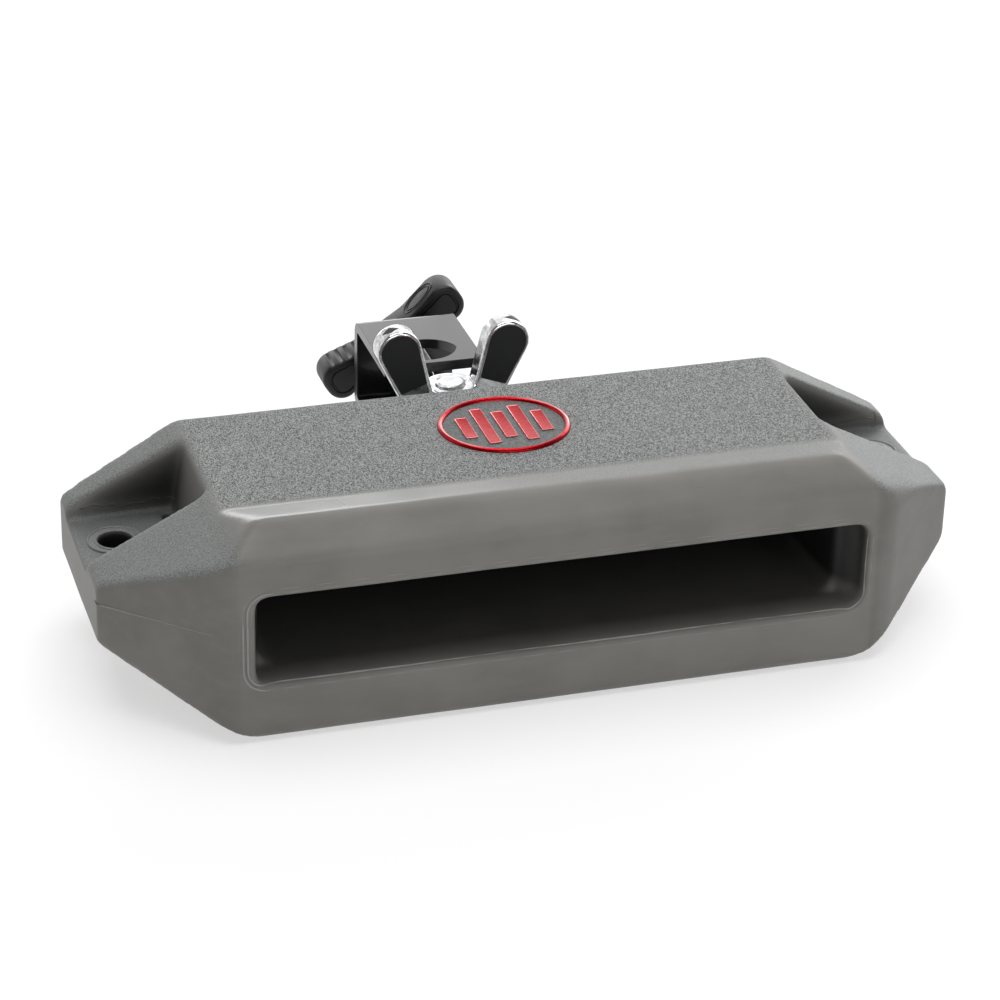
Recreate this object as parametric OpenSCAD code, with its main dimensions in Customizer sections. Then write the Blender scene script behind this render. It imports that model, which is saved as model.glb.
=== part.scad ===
// Moulded percussion block with a swivelling rod clamp behind it.
// Millimetres, +Z up, -Y is the slot side. The origin is the centre of the flat footprint.

/* [Block] */
// Overall length from ear to ear
block_len = 230; // [215:1:250]
// Front to back depth of the moulding
block_depth = 81.5; // [76:0.5:95]
// Height of the coarse striking plateau
plateau_z = 52; // [50:0.5:60]
// Length of each sloped ear, from the plateau's end to the end face
ear_len = 32; // [26:0.5:36]
// Height of the lower edge of each end face
end_low_z = 19.5; // [12:0.5:22]
// Height of the upper edge of each end face
end_high_z = 35.5; // [35:0.5:40]
// Distance of the front folds, where the plan chamfers start, beyond the plateau's ends
fold_out = 4; // [2:0.5:8]
// How far each front chamfer sets the end face back
front_set_back = 26; // [20:0.5:32]
// How far the rear face tapers in at each end
rear_taper = 4; // [2:0.1:8]
// Plan radius of the two soft front folds
fold_r = 14; // [6:0.5:16]
// Plan radius of the end face's front corners
nose_r = 3; // [2:0.5:9]
// Plan radius of the end face's rear corners
rear_nose_r = 1.5; // [1:0.5:7]
// Distance of the footprint's ends inside the plateau's ends
foot_in = 4; // [0:0.5:6]
// Radius of the long bottom edges
base_edge_r = 5; // [2:0.5:8]
// Radius of the plateau's rear edge
top_edge_r = 1.5; // [1:0.5:5]
// Elevation radius of the corners between footprint and lower slopes
heel_r = 8; // [4:0.5:14]
// Elevation radius of the ends' upper corners
cheek_r = 4; // [2:0.5:6]
// Elevation radius of the ends' lower corners
jaw_r = 3; // [2:0.5:12]

/* [Front ridge] */
// Height of the ridge line above the plateau
ridge_rise = 6; // [2:0.5:7]
// Distance of the ridge line's ends inside the plateau's ends
ridge_in = 5.5; // [1:0.5:8]
// Distance of the ridge line from the front face
ridge_back = 9.5; // [6:0.5:12]
// Distance of the valley line, where the plateau starts, from the front face
valley_back = 27.5; // [20:0.5:30]

/* [Slot] */
// Distance of the slot's ends inside the plateau's ends
slot_in = 1; // [0.5:0.5:10]
// Height of the slot's lower lip
slot_low_z = 16; // [12:0.5:18]
// Height of the slot's upper lip
slot_high_z = 42; // [38:0.5:44]
// Corner radius of the slot
slot_r = 5; // [3:0.5:8]
// Depth of the full width mouth
mouth_depth = 11; // [6:0.5:16]
// Step inward from the mouth's ends to the ends of the cavity behind it
cavity_in = 5; // [3:0.5:12]
// Thickness of the rear wall behind the cavity
rear_wall = 12; // [11:0.5:16]

/* [Ears] */
// Distance of the pocket's rear wall from the rear face
pocket_rear = 12.1; // [10:0.1:14]
// Width of the pocket
pocket_wid = 30.5; // [26:0.1:32]
// Height of the pocket's floor
pocket_floor_z = 32.6; // [31:0.1:34]
// Radius of the pocket's inner corners
pocket_r = 3; // [1:0.5:5]
// Height of the ledge along the pocket's rear wall
ledge_high = 2.8; // [1:0.1:4]
// How far the ledge stands out
ledge_deep = 0.8; // [0.3:0.1:1.5]
// Distance of the ear holes from the end faces
ear_hole_end = 10.5; // [9:0.5:13]
// Distance of the ear holes behind the pocket's front wall
ear_hole_in = 15; // [12:0.1:18]
// Bore radius of the ear holes
ear_bore_r = 4.6; // [4:0.1:5]
// Wall of the tube lining each ear hole
bush_wall = 2.8; // [1.5:0.1:3]
// Length of the lining tube
bush_len = 14; // [10:0.5:15]
// How far the tube stands above the pocket floor
bush_proud = 0.4; // [0.2:0.1:1]
// Radius of the small vent near each pocket's inner corner
vent_r = 1.8; // [1:0.1:2.5]
// Depth of the vent
vent_deep = 5; // [3:0.5:8]
// Distance of the vent from the pocket's inner wall and from its rear wall
vent_in = 5.5; // [4:0.5:8]

/* [Badge] */
// Length of the oval badge
badge_len = 35.6; // [30:0.1:42]
// Width of the oval badge, front to back
badge_wid = 32.4; // [26:0.1:34]
// Distance of the badge's centre behind the middle of the plateau
badge_shift = 1.75; // [0:0.25:4]
// Width of the raised ring
rim_wid = 1.7; // [1:0.1:2.5]
// Height of the ring above the plateau
rim_high = 1.3; // [0.6:0.1:2]
// Thickness of the badge's plate, let into the plateau
badge_thick = 1; // [0.6:0.1:2]
// Width of one bar of the motif
bar_wid = 3.2; // [2:0.1:3.8]
// Distance between neighbouring bars
bar_pitch = 5.2; // [4.5:0.1:5.6]
// Height of the bars above the plateau
bar_high = 0.8; // [0.4:0.1:1.2]

/* [Mounting plate] */
// Thickness of the mounting plate and of the clamp strip
steel_t = 3; // [2.5:0.1:3.5]
// Inner radius of the steel bends
bend_r = 0.8; // [0.5:0.1:2]
// Width of the leg on the rear wall
leg_wid = 62; // [56:1:76]
// Height of the leg
leg_high = 22; // [20:0.5:26]
// Width of the tongue
tongue_wid = 26; // [22:0.5:26]
// Height of the tongue's top face
tongue_z = 25; // [23:0.5:26]
// Distance of the pivot behind the rear wall
pivot_back = 25.25; // [24:0.25:32]
// Distance of the plate screws from the middle
screw_x = 23; // [20:0.5:25]
// Radius of the plate screws' thread
screw_r = 2.5; // [2:0.1:3]
// Height of the plate screws' heads
screw_head_high = 3; // [2:0.1:4]
// Radius of the inserts
insert_r = 3.6; // [3.4:0.1:4.2]
// Length of the inserts
insert_len = 8; // [6:0.5:9]

/* [Pivot] */
// Radius of the pivot bolt's thread
bolt_r = 4; // [3.5:0.1:4.2]
// Radius of the bolt's round head
bolt_head_r = 8.5; // [7:0.1:10]
// Height of the bolt's round head
bolt_head_high = 4; // [3:0.1:5]
// Radius of the friction washer
fibre_r = 12; // [10:0.1:12.5]
// Thickness of the friction washer
fibre_t = 1; // [0.6:0.1:1.6]
// Radius of the flat washer
washer_r = 9; // [8:0.1:10]
// Thickness of the flat washer
washer_t = 1.5; // [1:0.1:2]
// Radius of the spring washer
spring_r = 7; // [6.5:0.1:7.5]
// Thickness of the spring washer
spring_t = 2; // [1.5:0.1:2.5]

/* [Wing nut] */
// Radius of the nut's flange
nut_flange_r = 9.5; // [8:0.1:10.5]
// Height of the nut's flange
nut_flange_high = 2; // [1:0.1:3]
// Radius of the hub
hub_r = 7.4; // [6.5:0.1:8]
// Height of the whole hub
hub_high = 8.6; // [8:0.1:10]
// Distance of the wings' roots from the axis
wing_root_x = 11; // [10:0.1:12]
// Half width of a wing at its root
wing_root_half = 4.9; // [4:0.1:5.4]
// Length of a wing from its root to the centre of its round top
wing_len = 12.2; // [10:0.1:16]
// Radius of a wing's round top
wing_top_r = 7; // [6:0.1:7.5]
// Outward lean of the wings in degrees
wing_lean = 20; // [10:1:24]
// Thickness of a wing
wing_t = 6.4; // [5:0.1:8]
// Bright rim left round each dark inset
inset_rim = 1; // [0.8:0.1:2]
// Depth of the insets
inset_deep = 0.9; // [0.5:0.1:1.2]

/* [Rod clamp] */
// Width of the clamp strip
strip_wid = 29; // [27:0.5:32]
// Distance of the clamp's front riser behind the pivot
riser_back = 13.6; // [13.5:0.1:16]
// Depth of the C from its front riser to its rear web, outside
clamp_depth = 37; // [35:0.1:40]
// Height of the C outside
clamp_high = 26.8; // [26:0.1:28]
// Drop of the C's underside below the tongue's top face
clamp_drop = 11.8; // [10:0.1:13]
// Half length of the pointed oval rod hole, along X
rod_hole_half_x = 9; // [8:0.05:10]
// Half width of the pointed oval rod hole, along Y
rod_hole_half_y = 6.9; // [6.8:0.05:7.1]
// Steel left in front of the rod hole
rod_hole_land = 1.9; // [1.5:0.1:4]

/* [Clamp screw] */
// Radius of the clamp screw's thread
clamp_screw_r = 4; // [3.5:0.1:4.2]
// Distance over the flats of the weld nut
weld_nut_flats = 13; // [12:0.1:14]
// Thickness of the weld nut
weld_nut_t = 6; // [5:0.1:6.4]
// Radius of the foot that presses on the rod
foot_r = 5; // [4.6:0.1:6]
// Length of the foot
foot_len = 4; // [3.6:0.1:4.4]
// Radius of the screw's pilot inside the foot
pilot_r = 2.5; // [2:0.1:3]
// Length of the screw's pilot
pilot_len = 2.4; // [1.5:0.1:2.8]
// Gap between the handle's boss and the rear web, for the screw's travel
boss_gap = 6.8; // [6.2:0.1:10]
// Length of the handle's boss
boss_len = 2; // [1:0.1:6]
// Radius of the handle's boss
boss_r = 6.2; // [5.4:0.1:7]
// Length of the T-handle
handle_len = 48.5; // [44:0.5:54]
// Width of the handle's ends
handle_end_wid = 12; // [11:0.1:14]
// Radius of the corners of the handle's ends
handle_end_r = 5; // [3:0.1:5.4]
// Width of the handle's two narrow arms
handle_arm_wid = 7.4; // [6:0.1:9]
// Distance of the narrowest places from the screw's axis
handle_arm_x = 8; // [6:0.1:9]
// Depth of the handle along the screw
handle_deep = 10.4; // [10:0.1:14]
// Tilt of the handle above the horizontal in degrees
handle_tilt = 34; // [0:1:60]
// Number of grip grooves on each side of the lower arm
groove_count = 4; // [0:1:4]
// Distance between neighbouring grooves
groove_pitch = 2.7; // [2:0.1:3.2]
// Radius of the grooves
groove_r = 0.8; // [0.4:0.1:1]

/* [Fits] */
// Radial clearance of turning and sliding fits
run_fit = 0.06; // [0.03:0.01:0.1]
// Clearance round parts that are let in
seat_fit = 0.1; // [0.05:0.01:0.2]
// Radial clearance of washers and passage holes
loose_fit = 0.3; // [0.2:0.05:0.5]

/* [Hidden] */

$fn = 64;
// Overrun of every cut past the face it opens
over = block_depth;
// Flats in each rounded outline corner
corner_steps = 8;
// Points round the oval badge
oval_points = 72;
// Share of the badge's half width that each bar of the motif reaches, from the left
bar_shares = [0.36, 0.62, 0.46, 0.62, 0.36];
// Share of a corner's free length that a full round takes
full_round_share = 0.98;

// Block places
end_x = block_len / 2;
front_y = -block_depth / 2;
rear_y = block_depth / 2;
end_front_y = front_y + front_set_back;
end_rear_y = rear_y - rear_taper;
flat_half = end_x - ear_len;
fold_half = flat_half + fold_out;
foot_half = flat_half - foot_in;
top_slope = (plateau_z - end_high_z) / (end_x - flat_half);
fold_z = plateau_z - (fold_half - flat_half) * top_slope;
ridge_z = plateau_z + ridge_rise;
ridge_half = flat_half - ridge_in;
ridge_y = front_y + ridge_back;
valley_y = front_y + valley_back;
// Where the front incline passes the plateau's height
incline_y = front_y + ridge_back * (plateau_z - fold_z) / (ridge_z - fold_z);
ridge_root_z = (slot_high_z + fold_z) / 2;
slot_half = flat_half - slot_in;
cavity_half = slot_half - cavity_in;

// Three corners of the ridge's right end facet, and that facet's normal
valley_end = [flat_half, valley_y, plateau_z];
ridge_end = [ridge_half, ridge_y, ridge_z];
fold_end = [fold_half, front_y, fold_z];
facet_normal = cross(ridge_end - valley_end, fold_end - valley_end);
facet_pitch = asin(facet_normal.z / norm(facet_normal));
facet_turn = atan2(facet_normal.y, facet_normal.x);

// Ear places
pocket_rear_y = rear_y - pocket_rear;
pocket_y = pocket_rear_y - pocket_wid;
ear_hole_x = end_x - ear_hole_end;
ear_hole_y = pocket_y + ear_hole_in;
bush_r = ear_bore_r + bush_wall;
bush_low_z = pocket_floor_z + bush_proud - bush_len;

// Badge places
badge_y = (valley_y + rear_y) / 2 + badge_shift;

// Plate places
leg_y = rear_y + steel_t;
pivot_y = rear_y + pivot_back;
tongue_low_z = tongue_z - steel_t;
screw_z = (tongue_z + bend_r + tongue_low_z + leg_high) / 2;
screw_head_r = screw_r * 1.85;
screw_washer_r = screw_r * 1.7;
screw_washer_t = screw_r * 0.4;

// Pivot stack, from the tongue up
flange_z = tongue_z + fibre_t;
washer_z = flange_z + steel_t;
spring_z = washer_z + washer_t;
nut_z = spring_z + spring_t;
bolt_top_z = nut_z + hub_high + washer_t / 2;
neck_side = bolt_r * 2;

// Clamp places
strip_half = strip_wid / 2;
riser_y = pivot_y + riser_back;
web_y = riser_y + clamp_depth;
clamp_z = tongue_z - clamp_drop;
clamp_top_z = clamp_z + clamp_high;
top_plate_y = riser_y + steel_t;
rod_y = top_plate_y + rod_hole_land + rod_hole_half_y;
rod_arc_r = (pow(rod_hole_half_x, 2) + pow(rod_hole_half_y, 2)) / (2 * rod_hole_half_y);
axis_z = clamp_z + clamp_high / 2;

// Screw places along Y, from the rod back
foot_y = rod_y + rod_hole_half_y + loose_fit * 2;
foot_rear_y = foot_y + foot_len;
nut_front_y = web_y - steel_t - weld_nut_t;
boss_y = web_y + boss_gap;
handle_y = boss_y + boss_len;
pilot_y = foot_rear_y - pilot_len;
socket_deep = handle_deep * 0.4;
grip_half = handle_end_wid / 2;
arm_half = handle_arm_wid / 2;

// Unit vector from one plan point to another
function toward(a, b) = (b - a) / norm(b - a);

// Arc points about c from the point a to the point b, the short way round
function arc_points(c, r, a, b) =
    let (start = atan2(a.y - c.y, a.x - c.x),
         turn = (atan2(b.y - c.y, b.x - c.x) - start + 540) % 360 - 180)
    [for (i = [0:corner_steps]) c + r * [cos(start + turn * i / corner_steps),
                                         sin(start + turn * i / corner_steps)]];

// Outline with a radius at each corner, zero for a sharp one
function round_corners(points, radii) =
    let (n = len(points))
    [for (i = [0:n - 1])
        let (v = points[i], r = radii[i],
             a = toward(v, points[(i + n - 1) % n]), b = toward(v, points[(i + 1) % n]),
             half = acos(a * b) / 2, reach = r / tan(half),
             c = v + (a + b) / norm(a + b) * r / sin(half))
        each (r > 0 ? arc_points(c, r, v + a * reach, v + b * reach) : [v])];

// Normal to the left of a segment
function left_normal(a, b) = [a.y - b.y, b.x - a.x] / norm(b - a);

// One side of a bent strip whose middle line turns by right angles
function strip_side(path, s) =
    let (last = len(path) - 1)
    [for (i = [0:last])
        path[i] + s * ((i > 0 ? left_normal(path[i - 1], path[i]) : [0, 0])
                     + (i < last ? left_normal(path[i], path[i + 1]) : [0, 0]))];

// Corner radii of that side: the inner radius inside a bend, the outer one outside
function strip_radii(path, s) =
    [for (i = [0:len(path) - 1])
        i == 0 || i == len(path) - 1 ? 0
        : cross(path[i] - path[i - 1], path[i + 1] - path[i]) * s > 0 ? bend_r
        : bend_r + steel_t];

function flipped(list) = [for (i = [len(list) - 1:-1:0]) list[i]];

// Section of a steel strip bent along a middle line
function strip_section(path) =
    round_corners(concat(strip_side(path, steel_t / 2), flipped(strip_side(path, -steel_t / 2))),
                  concat(strip_radii(path, steel_t / 2), flipped(strip_radii(path, -steel_t / 2))));

function oval(a, b) =
    [for (i = [0:oval_points - 1])
        [a * cos(360 * i / oval_points), b * sin(360 * i / oval_points)]];

// Copies for both ends
module both_ends() {
    children();
    mirror([1, 0, 0]) children();
}

// Section in the YZ plane drawn out along X, centred
module along_x(length) {
    rotate([90, 0, 90]) linear_extrude(length, center = true) children();
}

// Outline in the XZ plane drawn out along +Y from y
module along_y(y, length) {
    translate([0, y + length, 0]) rotate([90, 0, 0]) linear_extrude(length) children();
}

// Cylinder along +Y from y
module rod_along_y(y, length, r) {
    along_y(y, length) circle(r);
}

module rounded_box_section(half_x, low_z, high_z, r) {
    polygon(round_corners([[-half_x, low_z], [half_x, low_z], [half_x, high_z],
                           [-half_x, high_z]], [r, r, r, r]));
}

module elevation() {
    polygon(round_corners(
        [[-foot_half, 0], [foot_half, 0], [end_x, end_low_z], [end_x, end_high_z],
         [flat_half, plateau_z], [-flat_half, plateau_z], [-end_x, end_high_z],
         [-end_x, end_low_z]],
        [heel_r, heel_r, jaw_r, cheek_r, 0, 0, cheek_r, jaw_r]));
}

module plan() {
    polygon(round_corners(
        [[-fold_half, front_y], [fold_half, front_y], [end_x, end_front_y], [end_x, end_rear_y],
         [flat_half, rear_y], [-flat_half, rear_y], [-end_x, end_rear_y], [-end_x, end_front_y]],
        [fold_r, fold_r, nose_r, rear_nose_r, 0, 0, rear_nose_r, nose_r]));
}

module side_section() {
    polygon(round_corners(
        [[front_y, 0], [rear_y, 0], [rear_y, plateau_z], [incline_y, plateau_z],
         [front_y, fold_z]],
        [base_edge_r, base_edge_r, top_edge_r, 0, 0]));
}

module ridge_section() {
    polygon([[front_y, ridge_root_z], [valley_y, ridge_root_z], [valley_y, plateau_z],
             [ridge_y, ridge_z], [front_y, fold_z]]);
}

// Space beyond the ridge's right end facet
module beyond_ridge_end() {
    translate(valley_end)
        rotate([0, -facet_pitch, facet_turn])
        translate([0, -block_len / 2, -block_len / 2])
        cube(block_len);
}

module ridge() {
    difference() {
        intersection() {
            along_x(fold_half * 2) ridge_section();
            linear_extrude(ridge_z) plan();
        }
        both_ends() beyond_ridge_end();
    }
}

module pocket() {
    outline = [[flat_half, pocket_y], [end_x + over, pocket_y],
               [end_x + over, pocket_rear_y], [flat_half, pocket_rear_y]];
    difference() {
        translate([0, 0, pocket_floor_z])
            linear_extrude(plateau_z)
            polygon(round_corners(outline, [pocket_r, 0, 0, pocket_r]));
        translate([flat_half, pocket_rear_y - ledge_deep, pocket_floor_z - over])
            cube([end_x, over, over + ledge_high]);
    }
}

module ear_cuts() {
    pocket();
    translate([ear_hole_x, ear_hole_y, bush_low_z])
        cylinder(h = bush_len + over, r = bush_r + seat_fit / 2);
    translate([ear_hole_x, ear_hole_y, -over])
        cylinder(h = bush_low_z + over * 2, r = ear_bore_r);
    translate([flat_half + vent_in, pocket_rear_y - vent_in, pocket_floor_z - vent_deep])
        cylinder(h = vent_deep + over, r = vent_r);
}

module insert_places() {
    for (side = [-1, 1]) translate([side * screw_x, 0, screw_z]) children();
}

module body() {
    color("dimgray")
    difference() {
        union() {
            intersection() {
                along_y(front_y, block_depth) elevation();
                linear_extrude(plateau_z) plan();
                along_x(block_len) side_section();
            }
            ridge();
        }
        along_y(front_y - over, over + mouth_depth)
            rounded_box_section(slot_half, slot_low_z, slot_high_z, slot_r);
        along_y(front_y - over, over + block_depth - rear_wall)
            rounded_box_section(cavity_half, slot_low_z, slot_high_z, slot_r);
        both_ends() ear_cuts();
        translate([0, badge_y, plateau_z - badge_thick])
            linear_extrude(over)
            polygon(oval(badge_len / 2 - rim_wid / 2, badge_wid / 2 - rim_wid / 2));
        insert_places() rod_along_y(rear_y - insert_len, over, insert_r + seat_fit / 2);
    }
}

module ear_bush(side) {
    color("gray")
    translate([side * ear_hole_x, ear_hole_y, bush_low_z])
        difference() {
            cylinder(h = bush_len, r = bush_r);
            translate([0, 0, -over]) cylinder(h = over * 2, r = ear_bore_r);
        }
}

module left_ear_bush() { ear_bush(-1); }

module right_ear_bush() { ear_bush(1); }

module badge_plate() {
    field_a = badge_len / 2 - rim_wid / 2 - seat_fit;
    field_b = badge_wid / 2 - rim_wid / 2 - seat_fit;
    color("slategray")
    translate([0, badge_y, plateau_z - badge_thick])
        linear_extrude(badge_thick) polygon(oval(field_a, field_b));
}

module badge_rim() {
    color("firebrick")
    translate([0, badge_y, plateau_z])
        linear_extrude(rim_high)
        difference() {
            polygon(oval(badge_len / 2, badge_wid / 2));
            polygon(oval(badge_len / 2 - rim_wid, badge_wid / 2 - rim_wid));
        }
}

module badge_motif() {
    middle = (len(bar_shares) - 1) / 2;
    color("firebrick")
    translate([0, badge_y, plateau_z])
        linear_extrude(bar_high)
        for (i = [0:len(bar_shares) - 1])
            translate([(i - middle) * bar_pitch, 0])
            square([bar_wid, badge_wid * bar_shares[i]], center = true);
}

module mount_plate() {
    path = [[rear_y + steel_t / 2, tongue_low_z + leg_high],
            [rear_y + steel_t / 2, tongue_z - steel_t / 2],
            [pivot_y + tongue_wid / 2, tongue_z - steel_t / 2]];
    color("silver")
    difference() {
        intersection() {
            along_x(leg_wid) polygon(strip_section(path));
            union() {
                translate([-leg_wid / 2, rear_y, tongue_z + bend_r])
                    cube([leg_wid, steel_t, leg_high]);
                translate([-tongue_wid / 2, rear_y, tongue_low_z])
                    cube([tongue_wid, pivot_back, leg_high]);
                translate([0, pivot_y, tongue_low_z])
                    cylinder(h = steel_t, r = tongue_wid / 2);
            }
        }
        translate([-neck_side / 2 - seat_fit, pivot_y - neck_side / 2 - seat_fit, 0])
            cube([neck_side + seat_fit * 2, neck_side + seat_fit * 2, over]);
        insert_places() rod_along_y(rear_y - over, over * 2, screw_r + loose_fit);
    }
}

module plate_screws() {
    head_y = leg_y + screw_washer_t;
    color("gainsboro")
    insert_places()
        difference() {
            union() {
                rod_along_y(rear_y - insert_len, insert_len + steel_t + screw_washer_t, screw_r);
                translate([0, head_y, 0])
                    rotate([-90, 0, 0])
                    intersection() {
                        cylinder(h = screw_head_high, r = screw_head_r);
                        translate([0, 0, screw_head_high - screw_head_r * 2])
                            sphere(screw_head_r * 2);
                    }
            }
            along_y(head_y + screw_head_high / 2, over) circle(screw_r * 0.7, $fn = 6);
        }
}

module plate_washers() {
    color("darkgray")
    insert_places()
        difference() {
            rod_along_y(leg_y, screw_washer_t, screw_washer_r);
            rod_along_y(leg_y - over, over * 2, screw_r + loose_fit);
        }
}

module plate_inserts() {
    color("goldenrod")
    insert_places()
        difference() {
            rod_along_y(rear_y - insert_len, insert_len, insert_r);
            rod_along_y(rear_y - over, over * 2, screw_r + run_fit);
        }
}

module pivot_bolt() {
    dome_r = (pow(bolt_head_r, 2) + pow(bolt_head_high, 2)) / (2 * bolt_head_high);
    color("silver")
    translate([0, pivot_y, 0]) {
        translate([0, 0, tongue_low_z])
            cylinder(h = bolt_top_z - tongue_low_z, r = bolt_r);
        translate([-neck_side / 2, -neck_side / 2, tongue_low_z])
            cube([neck_side, neck_side, steel_t]);
        intersection() {
            translate([0, 0, tongue_low_z - bolt_head_high])
                cylinder(h = bolt_head_high, r = bolt_head_r);
            translate([0, 0, tongue_low_z - bolt_head_high + dome_r]) sphere(dome_r);
        }
    }
}

// Ring about the pivot
module ring(z, t, outer_r, inner_r) {
    translate([0, pivot_y, z])
        difference() {
            cylinder(h = t, r = outer_r);
            translate([0, 0, -over]) cylinder(h = over * 2, r = inner_r);
        }
}

module fibre_washer() { color("saddlebrown") ring(tongue_z, fibre_t, fibre_r, bolt_r * 1.5); }

module flat_washer() { color("silver") ring(washer_z, washer_t, washer_r, bolt_r + loose_fit); }

module spring_washer() {
    color("darkgray")
    difference() {
        ring(spring_z, spring_t, spring_r, bolt_r + loose_fit);
        translate([0, pivot_y - spring_t / 4, spring_z - over])
            cube([over, spring_t / 2, over * 2]);
    }
}

module clamp_bracket() {
    path = [[pivot_y - strip_half, flange_z + steel_t / 2],
            [riser_y + steel_t / 2, flange_z + steel_t / 2],
            [riser_y + steel_t / 2, clamp_z + steel_t / 2],
            [web_y - steel_t / 2, clamp_z + steel_t / 2],
            [web_y - steel_t / 2, clamp_top_z - steel_t / 2],
            [top_plate_y, clamp_top_z - steel_t / 2]];
    color("black")
    difference() {
        intersection() {
            along_x(strip_wid) polygon(strip_section(path));
            union() {
                translate([0, pivot_y, 0]) cylinder(h = over, r = strip_half);
                translate([-strip_half, pivot_y, 0]) cube([strip_wid, over, over]);
            }
        }
        translate([0, rod_y, -over])
            linear_extrude(over * 3)
            intersection() {
                translate([0, rod_arc_r - rod_hole_half_y]) circle(rod_arc_r);
                translate([0, rod_hole_half_y - rod_arc_r]) circle(rod_arc_r);
            }
        translate([0, pivot_y, 0]) cylinder(h = over, r = bolt_r + run_fit);
        translate([0, 0, axis_z]) rod_along_y(rod_y, over, clamp_screw_r + loose_fit);
    }
}

module weld_nut() {
    color("darkgray")
    translate([0, 0, axis_z])
        difference() {
            along_y(nut_front_y, weld_nut_t) circle(weld_nut_flats / sqrt(3), $fn = 6);
            rod_along_y(nut_front_y - over, over * 2, clamp_screw_r + run_fit);
        }
}

// Place in the XZ plane, u across a wing from its middle line and v along it from its root
function wing_point(u, v) =
    [wing_root_x + u * cos(wing_lean) + v * sin(wing_lean),
     nut_z + hub_high - u * sin(wing_lean) + v * cos(wing_lean)];

// One wing's outline in the XZ plane, shrunk by a rim all round
module wing_outline(rim) {
    top_r = wing_top_r - rim;
    root = wing_root_half - rim;
    far = wing_len + top_r;
    spread = atan((top_r - root) / (far - rim));
    round_r = top_r * tan(45 - spread / 2) * full_round_share;
    polygon(round_corners(
        [wing_point(-root, rim), wing_point(root, rim), wing_point(top_r, far),
         wing_point(-top_r, far)],
        [0, 0, round_r, round_r]));
}

// Fin that joins a wing's root to the flange and the hub
module wing_fin() {
    low_z = nut_z + nut_flange_high;
    polygon([[(bolt_r + hub_r) / 2, low_z], [(hub_r + nut_flange_r) / 2, low_z],
             wing_point(wing_root_half, 0), wing_point(wing_root_half, inset_rim / 2),
             wing_point(-wing_root_half, inset_rim / 2), wing_point(-wing_root_half, 0)]);
}

module wing() {
    along_y(pivot_y - wing_t / 2, wing_t) {
        wing_outline(0);
        wing_fin();
    }
}

module wing_nut() {
    color("whitesmoke")
    difference() {
        union() {
            translate([0, pivot_y, nut_z]) cylinder(h = nut_flange_high, r = nut_flange_r);
            translate([0, pivot_y, nut_z]) cylinder(h = hub_high, r = hub_r);
            both_ends() wing();
        }
        both_ends() {
            along_y(pivot_y - wing_t / 2 - over, over + inset_deep) wing_outline(inset_rim);
            along_y(pivot_y + wing_t / 2 - inset_deep, over) wing_outline(inset_rim);
        }
        translate([0, pivot_y, 0]) cylinder(h = over, r = bolt_r + run_fit);
    }
}

module wing_pads() {
    color("black") {
        along_y(pivot_y - wing_t / 2, inset_deep) wing_outline(inset_rim + seat_fit);
        along_y(pivot_y + wing_t / 2 - inset_deep, inset_deep)
            wing_outline(inset_rim + seat_fit);
    }
}

module left_wing_pads() { mirror([1, 0, 0]) wing_pads(); }

module right_wing_pads() { wing_pads(); }

module screw_foot() {
    color("silver")
    translate([0, 0, axis_z])
        difference() {
            rod_along_y(foot_y, foot_len, foot_r);
            rod_along_y(pilot_y - loose_fit, over, pilot_r + run_fit);
        }
}

module clamp_screw() {
    color("gainsboro")
    translate([0, 0, axis_z]) {
        rod_along_y(pilot_y, pilot_len + foot_len, pilot_r);
        rod_along_y(foot_rear_y + loose_fit,
                    handle_y + socket_deep - foot_rear_y - loose_fit, clamp_screw_r);
    }
}

module handle_outline() {
    half = handle_len / 2;
    bulb = half - handle_end_wid / 2;
    quarter = [[handle_arm_x, arm_half], [bulb, grip_half], [half, grip_half]];
    corners = concat(quarter, [for (p = flipped(quarter)) [p.x, -p.y]],
                     [for (p = quarter) -p], [for (p = flipped(quarter)) [-p.x, p.y]]);
    radii = [boss_r, grip_half, handle_end_r];
    polygon(round_corners(corners, concat(radii, flipped(radii), radii, flipped(radii))));
}

// Grooves across the lower arm, on both of its narrow sides
module handle_grooves() {
    bulb = handle_len / 2 - handle_end_wid / 2;
    fall = (grip_half - arm_half) / (bulb - handle_arm_x);
    if (groove_count > 0)
        for (i = [0:groove_count - 1], side = [-1, 1])
            translate([i * groove_pitch - bulb,
                       side * (grip_half - fall * i * groove_pitch + groove_r / 4)])
            circle(groove_r);
}

module t_handle() {
    color("black")
    translate([0, 0, axis_z])
        difference() {
            union() {
                along_y(handle_y, handle_deep)
                    rotate(handle_tilt)
                    difference() {
                        handle_outline();
                        handle_grooves();
                    }
                rod_along_y(boss_y, boss_len + handle_deep / 2, boss_r);
            }
            rod_along_y(boss_y - over, over + boss_len + socket_deep + loose_fit,
                        clamp_screw_r + seat_fit / 2);
        }
}

body();
left_ear_bush();
right_ear_bush();
badge_plate();
badge_rim();
badge_motif();
mount_plate();
plate_screws();
plate_washers();
plate_inserts();
pivot_bolt();
fibre_washer();
clamp_bracket();
weld_nut();
flat_washer();
spring_washer();
wing_nut();
left_wing_pads();
right_wing_pads();
screw_foot();
clamp_screw();
t_handle();
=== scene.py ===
"""Looks of a moulded percussion block with a swivelling rod clamp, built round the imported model.

Metres, in the model's own frame: +X along the block, -Y out of the slot, +Z up.
"""

import math

import bmesh
import bpy
import numpy as np
from mathutils import Matrix, Vector
from mathutils.bvhtree import BVHTree


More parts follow.
